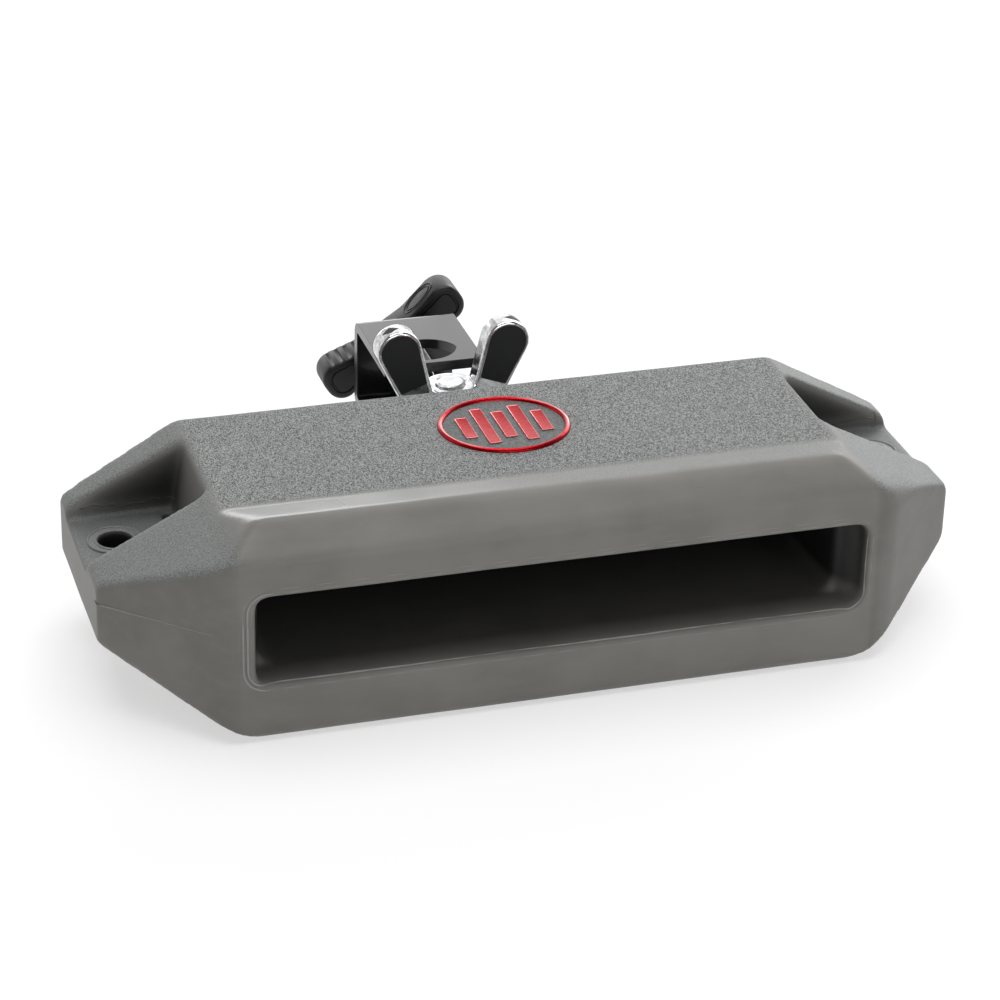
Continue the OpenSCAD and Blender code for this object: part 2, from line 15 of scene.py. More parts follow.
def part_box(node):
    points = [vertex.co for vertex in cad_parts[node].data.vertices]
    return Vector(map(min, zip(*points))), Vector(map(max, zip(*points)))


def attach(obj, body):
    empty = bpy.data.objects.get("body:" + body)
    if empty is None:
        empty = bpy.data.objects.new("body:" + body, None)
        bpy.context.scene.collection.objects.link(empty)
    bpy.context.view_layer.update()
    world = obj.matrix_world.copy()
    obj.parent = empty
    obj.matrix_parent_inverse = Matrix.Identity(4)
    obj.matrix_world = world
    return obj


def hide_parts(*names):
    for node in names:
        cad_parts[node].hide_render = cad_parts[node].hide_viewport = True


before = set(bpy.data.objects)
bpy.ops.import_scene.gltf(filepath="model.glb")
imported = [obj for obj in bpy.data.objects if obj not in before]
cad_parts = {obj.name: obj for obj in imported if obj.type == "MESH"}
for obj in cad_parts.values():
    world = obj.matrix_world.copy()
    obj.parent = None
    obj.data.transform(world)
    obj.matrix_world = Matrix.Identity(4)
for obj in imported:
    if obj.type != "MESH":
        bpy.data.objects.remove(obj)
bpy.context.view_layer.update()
MM = 0.001

# Camera, solved from the corners of the moulding in the photograph
SENSOR = 36
YAW, PITCH, ROLL = math.radians(17.42), math.radians(27.50), math.radians(1.53)
LENS = 117.76
AIM = Vector((-3.79, 5.20, 35.74)) * MM
DISTANCE = 858.9 * MM
NEAR, FAR = 0.05, 20

# Studio
LAMP_AIM = Vector((0, 0, 0.03))
FLOOR_SIZE = 8
PALE = (0.98, 0.98, 0.98, 1)

# Mesh making
MERGE_DIST = 0.001 * MM
FLAT_ANGLE = math.radians(1)
SMOOTHING = 0.5

# Moulding
BODY_LO, BODY_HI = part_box("body")
BACKWARD = (0, 1, 0)
EAR_LEN = 32 * MM
FLAT_HALF = BODY_HI.x - EAR_LEN
PLATEAU_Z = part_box("badge_rim")[0].z
VALLEY_Y = BODY_LO.y + 27.5 * MM
SLOT_HALF = FLAT_HALF - 1 * MM
SLOT_LOW, SLOT_HIGH, SLOT_R = 16 * MM, 42 * MM, 5 * MM
MOUTH_DEPTH = 11 * MM
CAVITY_IN = 5 * MM
CAVITY_END = 72 * MM
LIP_LEFT, LIP_RIGHT, LIP_LOW, LIP_HIGH = 2.2 * MM, 0.1 * MM, -0.1 * MM, 1.2 * MM
PARTING_Z = 31 * MM
POCKET_FLOOR = 32.6 * MM
EAR_Z = 35.5 * MM
POCKET_BACK = BODY_HI.y - 12.1 * MM
POCKET_FRONT = POCKET_BACK - 30.5 * MM
LEDGE_HIGH = 2.8 * MM
EAR_BORE = 4.6 * MM
VENT_IN = 5.5 * MM

# The moulding's soft skin: voxel size, rounds of smoothing and how far it is drawn out
VOXEL = 0.85 * MM
EVEN_ROUNDS, RIDGE_ROUNDS, LIP_ROUNDS = 6, 60, 8
SKIN, UNEVEN = 0.22 * MM, 0.06 * MM
SKIN_INSET = Vector((0.25, 0.38, 0)) * MM

# Badge
RIM_WIDE = 1.7 * MM
RIM_SINK = 0.15 * MM

# Carriage bolt
BOLT_HEAD_HIGH = 4 * MM

# Wing nut
HUB_HIGH = 8.6 * MM
WING_VOXEL, WING_ROUNDS = 0.36 * MM, 11
WING_ROOT_X, WING_ROOT_HALF, WING_LEN = 11 * MM, 4.9 * MM, 12.2 * MM
WING_TOP_R, WING_LEAN, PAD_RIM = 7 * MM, math.radians(20), 0.95 * MM
FULL_ROUND_SHARE = 0.98
DIAMOND_WIDE, DIAMOND_DEEP = 2.5 * MM, 1.6 * MM

# T-handle
HANDLE_LEN, HANDLE_END, HANDLE_END_R = 48.5 * MM, 12 * MM, 5 * MM
HANDLE_DEEP, RIB_PITCH, RIB_DEEP = 10.4 * MM, 2.7 * MM, 0.85 * MM
HANDLE_ARM, HANDLE_ARM_X, HANDLE_TILT = 7.4 * MM, 8 * MM, math.radians(34)
BOSS_R = 6.2 * MM
HANDLE_BULB = HANDLE_LEN / 2 - HANDLE_END / 2
HANDLE_Z = (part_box("t_handle")[0].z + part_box("t_handle")[1].z) / 2

# Threads of the bolt and of the clamp screw, with the screw's pilot
PITCH_M8 = 1.25 * MM
THREAD_R, THREAD_DEEP = 4 * MM, 0.62 * MM
PILOT_R, PILOT_LEN = 2.5 * MM, 2.7 * MM


def srgb(r, g, b):
    """Linear colour of three sRGB values from 0 to 255."""
    def channel(c):
        c /= 255
        return c / 12.92 if c <= 0.04045 else ((c + 0.055) / 1.055) ** 2.4
    return channel(r), channel(g), channel(b), 1.0


def smoothstep(low, high, values):
    """0 at low, 1 at high and an S curve between, for one value or many."""
    t = np.clip((values - low) / (high - low), 0, 1)
    return t * t * (3 - 2 * t)


# Camera, lamps and floor


def make_camera():
    cam = bpy.data.objects.new("camera", bpy.data.cameras.new("camera"))
    bpy.context.scene.collection.objects.link(cam)
    cam.data.lens = LENS
    cam.data.sensor_width = SENSOR
    ahead = Vector((math.sin(YAW) * math.cos(PITCH), math.cos(YAW) * math.cos(PITCH),
                    -math.sin(PITCH)))
    level = Vector((math.cos(YAW), -math.sin(YAW), 0))
    upward = level.cross(ahead)
    right = math.cos(ROLL) * level + math.sin(ROLL) * upward
    up = math.cos(ROLL) * upward - math.sin(ROLL) * level
    axes = Matrix((right, up, -ahead)).transposed().to_4x4()
    cam.matrix_world = Matrix.Translation(AIM - ahead * DISTANCE) @ axes
    cam.data.clip_start, cam.data.clip_end = NEAR, FAR
    bpy.context.scene.camera = cam


def make_lamp(name, place, size, power):
    """Soft oblong lamp at place, turned to the object."""
    lamp = bpy.data.lights.new(name, "AREA")
    lamp.shape = "RECTANGLE"
    lamp.size, lamp.size_y = size
    lamp.energy = power
    ob = bpy.data.objects.new(name, lamp)
    bpy.context.scene.collection.objects.link(ob)
    ob.location = place
    ob.rotation_euler = (LAMP_AIM - Vector(place)).to_track_quat("-Z", "Y").to_euler()


def seen_straight(tree):
    """1 for rays from the camera, off gloss or through glass, else 0."""
    path = tree.nodes.new("ShaderNodeLightPath")
    total = path.outputs["Is Camera Ray"]
    for name in ("Is Glossy Ray", "Is Transmission Ray"):
        top = tree.nodes.new("ShaderNodeMath")
        top.operation = "MAXIMUM"
        tree.links.new(total, top.inputs[0])
        tree.links.new(path.outputs[name], top.inputs[1])
        total = top.outputs[0]
    return total


def make_world(ambient, zenith, front):
    """White studio at a low strength as light, greyer overhead and in front where it mirrors."""
    world = bpy.data.worlds.new("studio")
    bpy.context.scene.world = world
    world.use_nodes = True
    tree = world.node_tree
    back = tree.nodes["Background"]
    back.inputs["Color"].default_value = (1, 1, 1, 1)
    place = tree.nodes.new("ShaderNodeTexCoord")
    split = tree.nodes.new("ShaderNodeSeparateXYZ")
    tree.links.new(place.outputs["Generated"], split.inputs[0])
    path = tree.nodes.new("ShaderNodeLightPath")

    def mapped(source, values):
        made = tree.nodes.new("ShaderNodeMapRange")
        for name, value in zip(("From Min", "From Max", "To Min", "To Max"), values):
            made.inputs[name].default_value = value
        tree.links.new(source, made.inputs["Value"])
        return made.outputs["Result"]

    def joined(operation, a, b):
        made = tree.nodes.new("ShaderNodeMath")
        made.operation = operation
        tree.links.new(a, made.inputs[0])
        tree.links.new(b, made.inputs[1])
        return made.outputs[0]
    # Z is 1 straight overhead, Y is 1 straight behind the block and -1 in front of it
    height = mapped(split.outputs["Z"], (0.25, 0.9, 1.0, zenith))
    facing = mapped(split.outputs["Y"], (-0.25, 0.35, front, 1.0))
    matt = mapped(path.outputs["Is Glossy Ray"], (0.0, 1.0, 1.0, 0.0))
    mirrored = joined("MULTIPLY", height, joined("MAXIMUM", facing, matt))
    strength = joined("MULTIPLY", mirrored, mapped(seen_straight(tree), (0.0, 1.0, ambient, 1.0)))
    whole = joined("MAXIMUM", strength, path.outputs["Is Camera Ray"])
    tree.links.new(whole, back.inputs["Strength"])


def make_floor(own_light):
    """White floor that shows partly by its own light and keeps the rest of the shadow."""
    bpy.ops.mesh.primitive_plane_add(size=FLOOR_SIZE)
    floor = bpy.context.object
    floor.name = "floor"
    mat = bpy.data.materials.new("floor_white")
    mat.use_nodes = True
    tree = mat.node_tree
    shader = tree.nodes["Principled BSDF"]
    shader.inputs["Base Color"].default_value = PALE
    shader.inputs["Roughness"].default_value = 0.9
    shader.inputs["Specular IOR Level"].default_value = 0.1
    glow = tree.nodes.new("ShaderNodeEmission")
    mix = tree.nodes.new("ShaderNodeMixShader")
    share = tree.nodes.new("ShaderNodeMath")
    share.operation = "MULTIPLY"
    share.inputs[1].default_value = own_light
    tree.links.new(seen_straight(tree), share.inputs[0])
    tree.links.new(share.outputs[0], mix.inputs[0])
    tree.links.new(shader.outputs[0], mix.inputs[1])
    tree.links.new(glow.outputs[0], mix.inputs[2])
    tree.links.new(mix.outputs[0], tree.nodes["Material Output"].inputs["Surface"])
    floor.data.materials.append(mat)


# Materials


class Paint:
    """A material with a Principled shader and short calls for the nodes that feed it."""

    def __init__(self, name, colour, roughness, metallic=0.0, specular=0.5, coat=0.0,
                 coat_roughness=0.05):
        self.mat = bpy.data.materials.new(name)
        self.mat.use_nodes = True
        self.tree = self.mat.node_tree
        self.shader = self.tree.nodes["Principled BSDF"]
        self.set("Base Color", colour)
        self.set("Roughness", roughness)
        self.set("Metallic", metallic)
        self.set("Specular IOR Level", specular)
        self.set("Coat Weight", coat)
        self.set("Coat Roughness", coat_roughness)
        self.place = self.tree.nodes.new("ShaderNodeTexCoord").outputs["Object"]
        self.relief = None

    def set(self, name, value):
        self.shader.inputs[name].default_value = value

    def node(self, kind, **values):
        made = self.tree.nodes.new("ShaderNode" + kind)
        for key, value in values.items():
            setattr(made, key, value)
        return made

    def link(self, source, target):
        self.tree.links.new(source, target)

    def feed(self, source, name):
        self.link(source, self.shader.inputs[name])

    def noise(self, size, detail=2.0, rough=0.5, stretch=None):
        """Noise whose features are about size metres across."""
        made = self.node("TexNoise")
        made.inputs["Scale"].default_value = 1 / size
        made.inputs["Detail"].default_value = detail
        made.inputs["Roughness"].default_value = rough
        source = self.place
        if stretch:
            spread = self.node("Mapping")
            spread.inputs["Scale"].default_value = stretch
            self.link(self.place, spread.inputs["Vector"])
            source = spread.outputs[0]
        self.link(source, made.inputs["Vector"])
        return made.outputs["Fac"]

    def ramp(self, source, low, high, start=0.0, end=1.0):
        made = self.node("MapRange", interpolation_type="SMOOTHSTEP")
        made.inputs["From Min"].default_value = low
        made.inputs["From Max"].default_value = high
        made.inputs["To Min"].default_value = start
        made.inputs["To Max"].default_value = end
        self.link(source, made.inputs["Value"])
        return made.outputs["Result"]

    def math(self, operation, a, b):
        made = self.node("Math", operation=operation)
        for value, socket in ((a, made.inputs[0]), (b, made.inputs[1])):
            if isinstance(value, (int, float)):
                socket.default_value = value
            else:
                self.link(value, socket)
        return made.outputs[0]

    def mix(self, share, a, b):
        """Colour a where share is 0, b where it is 1."""
        made = self.node("Mix", data_type="RGBA")
        self.link(share, made.inputs["Factor"])
        for value, socket in ((a, made.inputs[6]), (b, made.inputs[7])):
            if isinstance(value, tuple):
                socket.default_value = value
            else:
                self.link(value, socket)
        return made.outputs[2]

    def attribute(self, name):
        return self.node("Attribute", attribute_name=name).outputs["Fac"]

    def tint(self, share, a, b):
        """Surface colour a where share is 0, b where it is 1."""
        self.feed(self.mix(share, a, b), "Base Color")

    def bump(self, height, depth):
        """Bump whose full height is depth metres, on top of any earlier one."""
        made = self.node("Bump")
        made.inputs["Distance"].default_value = depth
        self.link(height, made.inputs["Height"])
        if self.relief is not None:
            self.link(self.relief, made.inputs["Normal"])
        self.relief = made.outputs["Normal"]
        self.feed(self.relief, "Normal")


def block_plastic():
    """Grey moulded plastic: coarse grain on the plateau, fine on the sides, a painted sheen on the
    ridge's band and painted shade inside the slot and the pockets.
    """
    p = Paint("block_plastic", srgb(112, 111, 108), 0.55, specular=0.4)
    coarse = p.attribute("coarse")
    medium = p.attribute("medium")
    smooth_and_sheen = p.attribute("smooth_and_sheen")
    grit = p.noise(0.28 * MM, 2.0, 0.6)
    fine = p.noise(0.36 * MM, 2.0, 0.6)
    clouds = p.noise(26 * MM, 3.0, 0.55)
    scuffs = p.noise(5 * MM, 3.0, 0.6, stretch=(0.35, 1.0, 1.0))
    side = p.mix(p.ramp(clouds, 0.35, 0.65), srgb(104, 103, 99), srgb(113, 111, 107))
    side = p.mix(p.ramp(scuffs, 0.4, 0.75, 0, 0.35), side, srgb(120, 118, 114))
    top = p.mix(p.ramp(grit, 0.38, 0.62), srgb(42, 45, 45), srgb(153, 155, 154))
    middle = p.mix(p.ramp(fine, 0.38, 0.62), srgb(80, 83, 82), srgb(116, 118, 116))
    colour = p.mix(medium, side, middle)
    colour = p.mix(coarse, colour, top)
    # Painted sheen: the ridge's band lighter, most at its left end, as well as smoother
    colour = p.mix(p.ramp(smooth_and_sheen, 0, 1, 0, 0.8), colour, srgb(138, 138, 137))
    # Painted shade inside the slot, from the attribute inside
    colour = p.mix(p.attribute("inside"), colour, srgb(34, 35, 35))
    # Painted shade where the attribute shade is 1: pockets, ears' front faces, nick, flash and
    # crease
    p.tint(p.attribute("shade"), colour, srgb(20, 21, 21))
    rough = p.math("SUBTRACT", p.ramp(coarse, 0, 1, 0.5, 0.72), p.ramp(smooth_and_sheen, 0, 1, 0, 0.26))
    p.feed(rough, "Roughness")
    soft = p.math("MULTIPLY", fine, p.math("ADD", p.math("MULTIPLY", medium, 0.9), 0.25))
    p.bump(soft, 0.12 * MM)
    p.bump(p.math("MULTIPLY", grit, coarse), 0.17 * MM)
    return p.mat


def bush_plastic():
    p = Paint("bush_plastic", srgb(98, 99, 99), 0.4)
    grain = p.noise(0.4 * MM)
    colour = p.mix(p.ramp(grain, 0.3, 0.7), srgb(88, 89, 89), srgb(112, 113, 112))
    # Painted shade down the bore where the attribute shade is 1
    p.tint(p.attribute("shade"), colour, srgb(16, 17, 17))
    p.bump(grain, 0.03 * MM)
    return p.mat


def badge_field():
    p = Paint("badge_field", srgb(92, 95, 95), 0.65, specular=0.3)
    grain = p.noise(0.6 * MM, 3.0, 0.6)
    p.tint(p.ramp(grain, 0.35, 0.65), srgb(74, 78, 78), srgb(108, 111, 110))
    p.bump(grain, 0.09 * MM)
    return p.mat


def red_enamel():
    """Metallic red, with a painted highlight, pale and smoother, where the attribute edge is 1."""
    p = Paint("red_enamel", srgb(150, 24, 32), 0.3, metallic=1.0)
    flake = p.noise(0.45 * MM)
    edge = p.attribute("edge")
    colour = p.mix(p.ramp(flake, 0.35, 0.7), srgb(140, 10, 18), srgb(172, 28, 36))
    p.tint(edge, colour, srgb(226, 150, 150))
    p.feed(p.ramp(edge, 0, 1, 0.3, 0.12), "Roughness")
    p.bump(p.noise(2.2 * MM), 0.06 * MM)
    return p.mat


def zinc():
    p = Paint("zinc_steel", (0.62, 0.63, 0.64, 1), 0.3, metallic=1.0)
    cloud = p.noise(3 * MM, 4.0, 0.6)
    p.tint(p.ramp(cloud, 0.3, 0.7), (0.45, 0.46, 0.48, 1), (0.66, 0.66, 0.65, 1))
    p.feed(p.ramp(cloud, 0.2, 0.8, 0.22, 0.42), "Roughness")
    p.bump(p.noise(0.25 * MM), 0.008 * MM)
    return p.mat


def brass():
    p = Paint("brass", (0.72, 0.52, 0.22, 1), 0.3, metallic=1.0)
    p.feed(p.ramp(p.noise(1 * MM), 0.2, 0.8, 0.25, 0.4), "Roughness")
    return p.mat


def fibre():
    p = Paint("fibre", srgb(112, 60, 38), 0.8)
    fleck = p.noise(0.7 * MM, 4.0, 0.7)
    p.tint(p.ramp(fleck, 0.35, 0.65), srgb(86, 44, 28), srgb(140, 84, 54))
    p.bump(fleck, 0.05 * MM)
    return p.mat


def black_enamel():
    p = Paint("black_enamel", srgb(10, 10, 11), 0.3, coat=0.4, coat_roughness=0.1)
    dust = p.noise(1.1 * MM, 3.0, 0.7)
    p.tint(p.ramp(dust, 0.55, 0.8), srgb(8, 8, 9), srgb(24, 24, 26))
    p.bump(p.noise(1.6 * MM), 0.015 * MM)
    return p.mat


def chrome():
    p = Paint("chrome", (0.6, 0.6, 0.61, 1), 0.07, metallic=1.0)
    cloud = p.noise(1.5 * MM, 3.0)
    p.tint(p.ramp(cloud, 0.3, 0.7), (0.44, 0.44, 0.46, 1), (0.66, 0.66, 0.66, 1))
    p.feed(p.ramp(cloud, 0.3, 0.75, 0.06, 0.18), "Roughness")
    p.bump(p.noise(2.5 * MM), 0.06 * MM)
    return p.mat


def pad_rubber():
    p = Paint("pad_rubber", srgb(26, 27, 28), 0.62, specular=0.35)
    grain = p.noise(0.28 * MM)
    p.tint(p.ramp(grain, 0.35, 0.65), srgb(17, 18, 19), srgb(28, 29, 30))
    p.bump(grain, 0.03 * MM)
    return p.mat


def handle_plastic():
    p = Paint("handle_plastic", srgb(18, 18, 19), 0.42, specular=0.4)
    grain = p.noise(0.3 * MM)
    wear = p.noise(4 * MM, 3.0)
    p.tint(p.ramp(wear, 0.35, 0.7), srgb(8, 8, 9), srgb(18, 18, 19))
    p.feed(p.ramp(wear, 0.3, 0.7, 0.34, 0.48), "Roughness")
    p.bump(grain, 0.02 * MM)
    return p.mat


# Mesh helpers


def new_piece(name, mesh, mat, body, slot, *nodes):
    ob = bpy.data.objects.new(name, mesh)
    bpy.context.scene.collection.objects.link(ob)
    mesh.materials.clear()
    mesh.materials.append(mat)
    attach(ob, body)
    if nodes:
        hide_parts(*nodes)
    return ob


def modified(mesh, kind, **values):
    """The mesh after a modifier of this kind with these values."""
    ob = bpy.data.objects.new("scratch", mesh)
    bpy.context.scene.collection.objects.link(ob)
    made = ob.modifiers.new(kind.lower(), kind)
    for key, value in values.items():
        setattr(made, key, value)
    graph = bpy.context.evaluated_depsgraph_get()
    result = bpy.data.meshes.new_from_object(ob.evaluated_get(graph))
    bpy.data.objects.remove(ob)
    return result


def points_of(mesh):
    co = np.empty(len(mesh.vertices) * 3)
    mesh.vertices.foreach_get("co", co)
    return co.reshape(-1, 3)


def normals_of(mesh):
    normal = np.empty(len(mesh.vertices) * 3)
    mesh.vertices.foreach_get("normal", normal)
    return normal.reshape(-1, 3)


def put_points(mesh, co):
    mesh.vertices.foreach_set("co", co.astype(np.float32).ravel())
    mesh.update()


def closed_mesh(name, *sources):
    """One mesh of copies of these meshes, with doubled vertices merged and normals outward."""
    bm = bmesh.new()
    for source in sources:
        bm.from_mesh(source)
    bmesh.ops.remove_doubles(bm, verts=bm.verts, dist=MERGE_DIST)
    bmesh.ops.recalc_face_normals(bm, faces=bm.faces)
    mesh = bpy.data.meshes.new(name)
    bm.to_mesh(mesh)
    bm.free()
    return mesh


def node_mesh(node):
    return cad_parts[node].data


def edge_pairs(mesh):
    pairs = np.empty(len(mesh.edges) * 2, np.int32)
    mesh.edges.foreach_get("vertices", pairs)
    return pairs.reshape(-1, 2)


def relaxed(co, pairs, rounds, weight):
    """Points drawn towards the middle of their neighbours, by weight at each point."""
    count = np.bincount(pairs.ravel(), minlength=len(co))[:, None]
    for _ in range(rounds):
        total = np.zeros_like(co)
        for axis in range(3):
            total[:, axis] = (np.bincount(pairs[:, 0], co[pairs[:, 1], axis], len(co))
                              + np.bincount(pairs[:, 1], co[pairs[:, 0], axis], len(co)))
        co = co + weight[:, None] * (total / count - co)
    return co


def smooth_shaded(mesh, angle=None):
    """Smooth shading, sharp past the angle in degrees if one is given."""
    mesh.polygons.foreach_set("use_smooth", [True] * len(mesh.polygons))
    if angle:
        mesh.set_sharp_from_angle(angle=math.radians(angle))
    return mesh


def loft(rings, around=False):
    """Mesh through closed rings of as many points each, capped or closed into a loop."""
    count = len(rings[0])
    verts = [p for ring in rings for p in ring]
    spans = len(rings) if around else len(rings) - 1
    faces = []
    for i in range(spans):
        a, b = i * count, (i + 1) % len(rings) * count
        for j in range(count):
            k = (j + 1) % count
            faces.append((a + j, a + k, b + k, b + j))
    if not around:
        faces.append(tuple(range(count))[::-1])
        faces.append(tuple(range(len(verts) - count, len(verts))))
    mesh = bpy.data.meshes.new("loft")
    mesh.from_pydata(verts, [], faces)
    return closed_mesh("loft", mesh)


def round_corners(points, radii, steps=8):
    """Outline with a radius at each corner, zero for a sharp one."""
    outline = []
    for i, (v, r) in enumerate(zip(points, radii)):
        v = Vector(v)
        if r <= 0:
            outline.append(v)
            continue
        a = (Vector(points[i - 1]) - v).normalized()
        b = (Vector(points[(i + 1) % len(points)]) - v).normalized()
        half = a.angle(b) / 2
        c = v + (a + b).normalized() * (r / math.sin(half))
        reach = r / math.tan(half)
        start, end = v + a * reach - c, v + b * reach - c
        turn = start.angle_signed(end)
        for k in range(steps + 1):
            angle = -turn * k / steps
            outline.append(c + Vector((start.x * math.cos(angle) - start.y * math.sin(angle),
                                       start.x * math.sin(angle) + start.y * math.cos(angle))))
    return outline


def even_outline(outline, spacing):
    """The closed outline with points about spacing apart."""
    points = np.array([tuple(p) for p in outline + outline[:1]])
    length = np.concatenate(([0], np.cumsum(np.linalg.norm(np.diff(points, axis=0), axis=1))))
    count = int(length[-1] / spacing)
    at = np.arange(count) * length[-1] / count
    return np.stack([np.interp(at, length, points[:, i]) for i in range(2)], axis=1)


def outward(outline):
    """Unit normals of a closed outline that runs counter-clockwise."""
    along = np.roll(outline, -1, axis=0) - np.roll(outline, 1, axis=0)
    normal = np.stack([along[:, 1], -along[:, 0]], axis=1)
    return normal / np.linalg.norm(normal, axis=1)[:, None]


def ellipse(a, b, count):
    angle = np.arange(count) * 2 * math.pi / count
    return np.stack([a * np.cos(angle), b * np.sin(angle)], axis=1)


def inset_loft(outline, profile, place):
    """Loft of an outline drawn in by each profile step's inset, at its height.

    place turns a point of the outline and a height into a place.
    """
    normal = outward(outline)
    rings = []
    for inset, height in profile:
        rings.append([place(p, height) for p in outline - normal * inset])
    return loft(rings)


def round_edge(radius, top, steps=4):
    """Profile steps round an edge up to the height top."""
    steps_round = []
    for k in range(steps + 1):
        angle = math.pi / 2 * k / steps
        steps_round.append((radius * (1 - math.cos(angle)), top - radius * (1 - math.sin(angle))))
    return steps_round


def tube(points, radii, sides=6, closed=False):
    """Tube through points with a radius at each."""
    last = len(points) - 1
    rings = []
    side = None
    for i, p in enumerate(points):
        ahead = points[(i + 1) % len(points)] if closed or i < last else p
        behind = points[i - 1] if closed or i > 0 else p
        along = (ahead - behind).normalized()
        if side is None:
            side = along.orthogonal().normalized()
        side = (side - along * side.dot(along)).normalized()
        other = along.cross(side)
        ring = []
        for k in range(sides):
            angle = 2 * math.pi * k / sides
            ring.append(p + (side * math.cos(angle) + other * math.sin(angle)) * radii[i])
        rings.append(ring)
    return smooth_shaded(loft(rings, around=closed))


def upright(x, y):
    """Turns a point of an outline round an upright axis and a height into a place."""
    def place(p, height):
        return Vector((x + p[0], y + p[1], height))
    return place


def lying(z):
    """Turns a point of an outline round an axis along Y and a depth into a place."""
    def place(p, depth):
        return Vector((p[0], depth, z + p[1]))
    return place


def lathe(profile, place):
    """Ring of revolution: the closed profile gives radii and heights, place the axis."""
    return loft([[place(p, h) for p in ellipse(r, r, 64)] for r, h in profile], around=True)


def flat_faced(mesh):
    """The mesh as a bmesh in which each flat face is one polygon."""
    bm = bmesh.new()
    bm.from_mesh(mesh)
    bmesh.ops.dissolve_limit(bm, angle_limit=FLAT_ANGLE, verts=bm.verts, edges=bm.edges)
    return bm


def bevelled(mesh, width, segments, angle):
    """The mesh with each edge rounded that is sharper than the angle in degrees."""
    return modified(mesh, "BEVEL", width=width, segments=segments, limit_method="ANGLE",
                    angle_limit=math.radians(angle))


def dressed(node, name, mat, body, slot, width, segments=3):
    """The node's own shape with its edges rounded."""
    mesh = closed_mesh(name, node_mesh(node))
    bm = flat_faced(mesh)
    bm.to_mesh(mesh)
    bm.free()
    mesh = smooth_shaded(bevelled(mesh, width, segments, 30))
    ob = new_piece(name, mesh, mat, body, slot, node)
    ob.modifiers.new("normals", "WEIGHTED_NORMAL").keep_sharp = True


def voxel_skin(sources, voxel):
    """One closed skin round the sources."""
    return modified(closed_mesh("skin", *sources), "REMESH", mode="VOXEL", voxel_size=voxel)


# The block


def slot_outline(left, right=None, low=None, high=None):
    """The slot's outline in X and Z, grown by a width on each side."""
    right, low, high = (left if w is None else w for w in (right, low, high))
    x, z, top, r = SLOT_HALF + right, SLOT_LOW - low, SLOT_HIGH + high, SLOT_R + left
    back = -SLOT_HALF - left
    return round_corners([(x, z), (x, top), (back, top), (back, z)], [r] * 4, 10)


def slot_lip():
    """Ring inside the slot's mouth, so that the opening ends at the lip and not at the bead."""
    outer = slot_outline(2 * MM)
    inner = slot_outline(-LIP_LEFT, -LIP_RIGHT, -LIP_LOW, -LIP_HIGH)
    front, back = BODY_LO.y, BODY_LO.y + MOUTH_DEPTH + 1 * MM
    place = lying(0)
    rings = []
    for outline, y in ((outer, front), (inner, front), (inner, back), (outer, back)):
        rings.append([place(p, y) for p in outline])
    return loft(rings, around=True)


def slot_taper(side):
    """Wedge that leads each end of the slot's mouth smoothly into the narrower cavity."""
    outer, inner = SLOT_HALF + 1.5 * MM, SLOT_HALF - CAVITY_IN - 0.2 * MM
    start, end = BODY_LO.y + 2 * MM, BODY_LO.y + MOUTH_DEPTH + 1.5 * MM
    section = [(outer, start), (outer, end), (inner, end)]
    rings = []
    for z in (SLOT_LOW - 1 * MM, SLOT_HIGH + 1 * MM):
        rings.append([Vector((side * x, y, z)) for x, y in section])
    return loft(rings)


def ear_plug(side):
    """Ring round each ear hole that closes the gap under the bush's rim."""
    inner, outer = EAR_BORE + 0.6 * MM, EAR_BORE + 4.4 * MM
    low = POCKET_FLOOR - 9 * MM
    profile = [(inner, low), (outer, low), (outer, POCKET_FLOOR), (inner, POCKET_FLOOR)]
    return lathe(profile, upright(*ear_hole(side)))


def ear_hole(side):
    lo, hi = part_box(side + "_ear_bush")
    return (lo.x + hi.x) / 2, (lo.y + hi.y) / 2


def badge_fill():
    """Disc that closes the badge's recess, so that the plateau runs on under the ring."""
    lo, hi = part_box("badge_rim")
    middle = (lo + hi) / 2
    outline = ellipse((hi.x - lo.x) / 2 - 0.3 * MM, (hi.y - lo.y) / 2 - 0.3 * MM, 96)
    place = upright(middle.x, middle.y)
    return inset_loft(outline, [(0, PLATEAU_Z - 2 * MM), (0, PLATEAU_Z)], place)


def pocket_wedge(side):
    """Draft of the pocket's inner wall, thickest at the floor."""
    inner, low = FLAT_HALF - 1 * MM, POCKET_FLOOR - 1 * MM
    section = [(inner, PLATEAU_Z - 0.5 * MM), (FLAT_HALF + 0.2 * MM, PLATEAU_Z - 1 * MM),
               (FLAT_HALF + 3.3 * MM, low), (inner, low)]
    rings = []
    for y in (POCKET_FRONT + 1 * MM, POCKET_BACK + 1 * MM):
        rings.append([Vector((side * x, y, z)) for x, z in section])
    return loft(rings)


def shell_weights(co):
    """How far each point may be smoothed: less round the small vents."""
    x, y = np.abs(co[:, 0]), co[:, 1]
    reach = np.hypot(x - FLAT_HALF - VENT_IN, y - POCKET_BACK + VENT_IN)
    near = 1 - smoothstep(2.6 * MM, 4 * MM, reach)
    above = co[:, 2] > 25 * MM
    return SMOOTHING * (1 - 0.85 * near * above)


def ripple(co, size):
    """Slow unevenness from -1 to 1."""
    ways = ((1.0, 0.4, 0.7), (-0.6, 1.1, 0.3), (0.5, -0.7, 1.2), (1.3, 0.9, -0.5))
    total = np.zeros(len(co))
    for k, way in enumerate(ways):
        total += np.sin(co @ np.array(way) / size * (1 + 0.37 * k) + 1.7 * k)
    return total / len(ways)


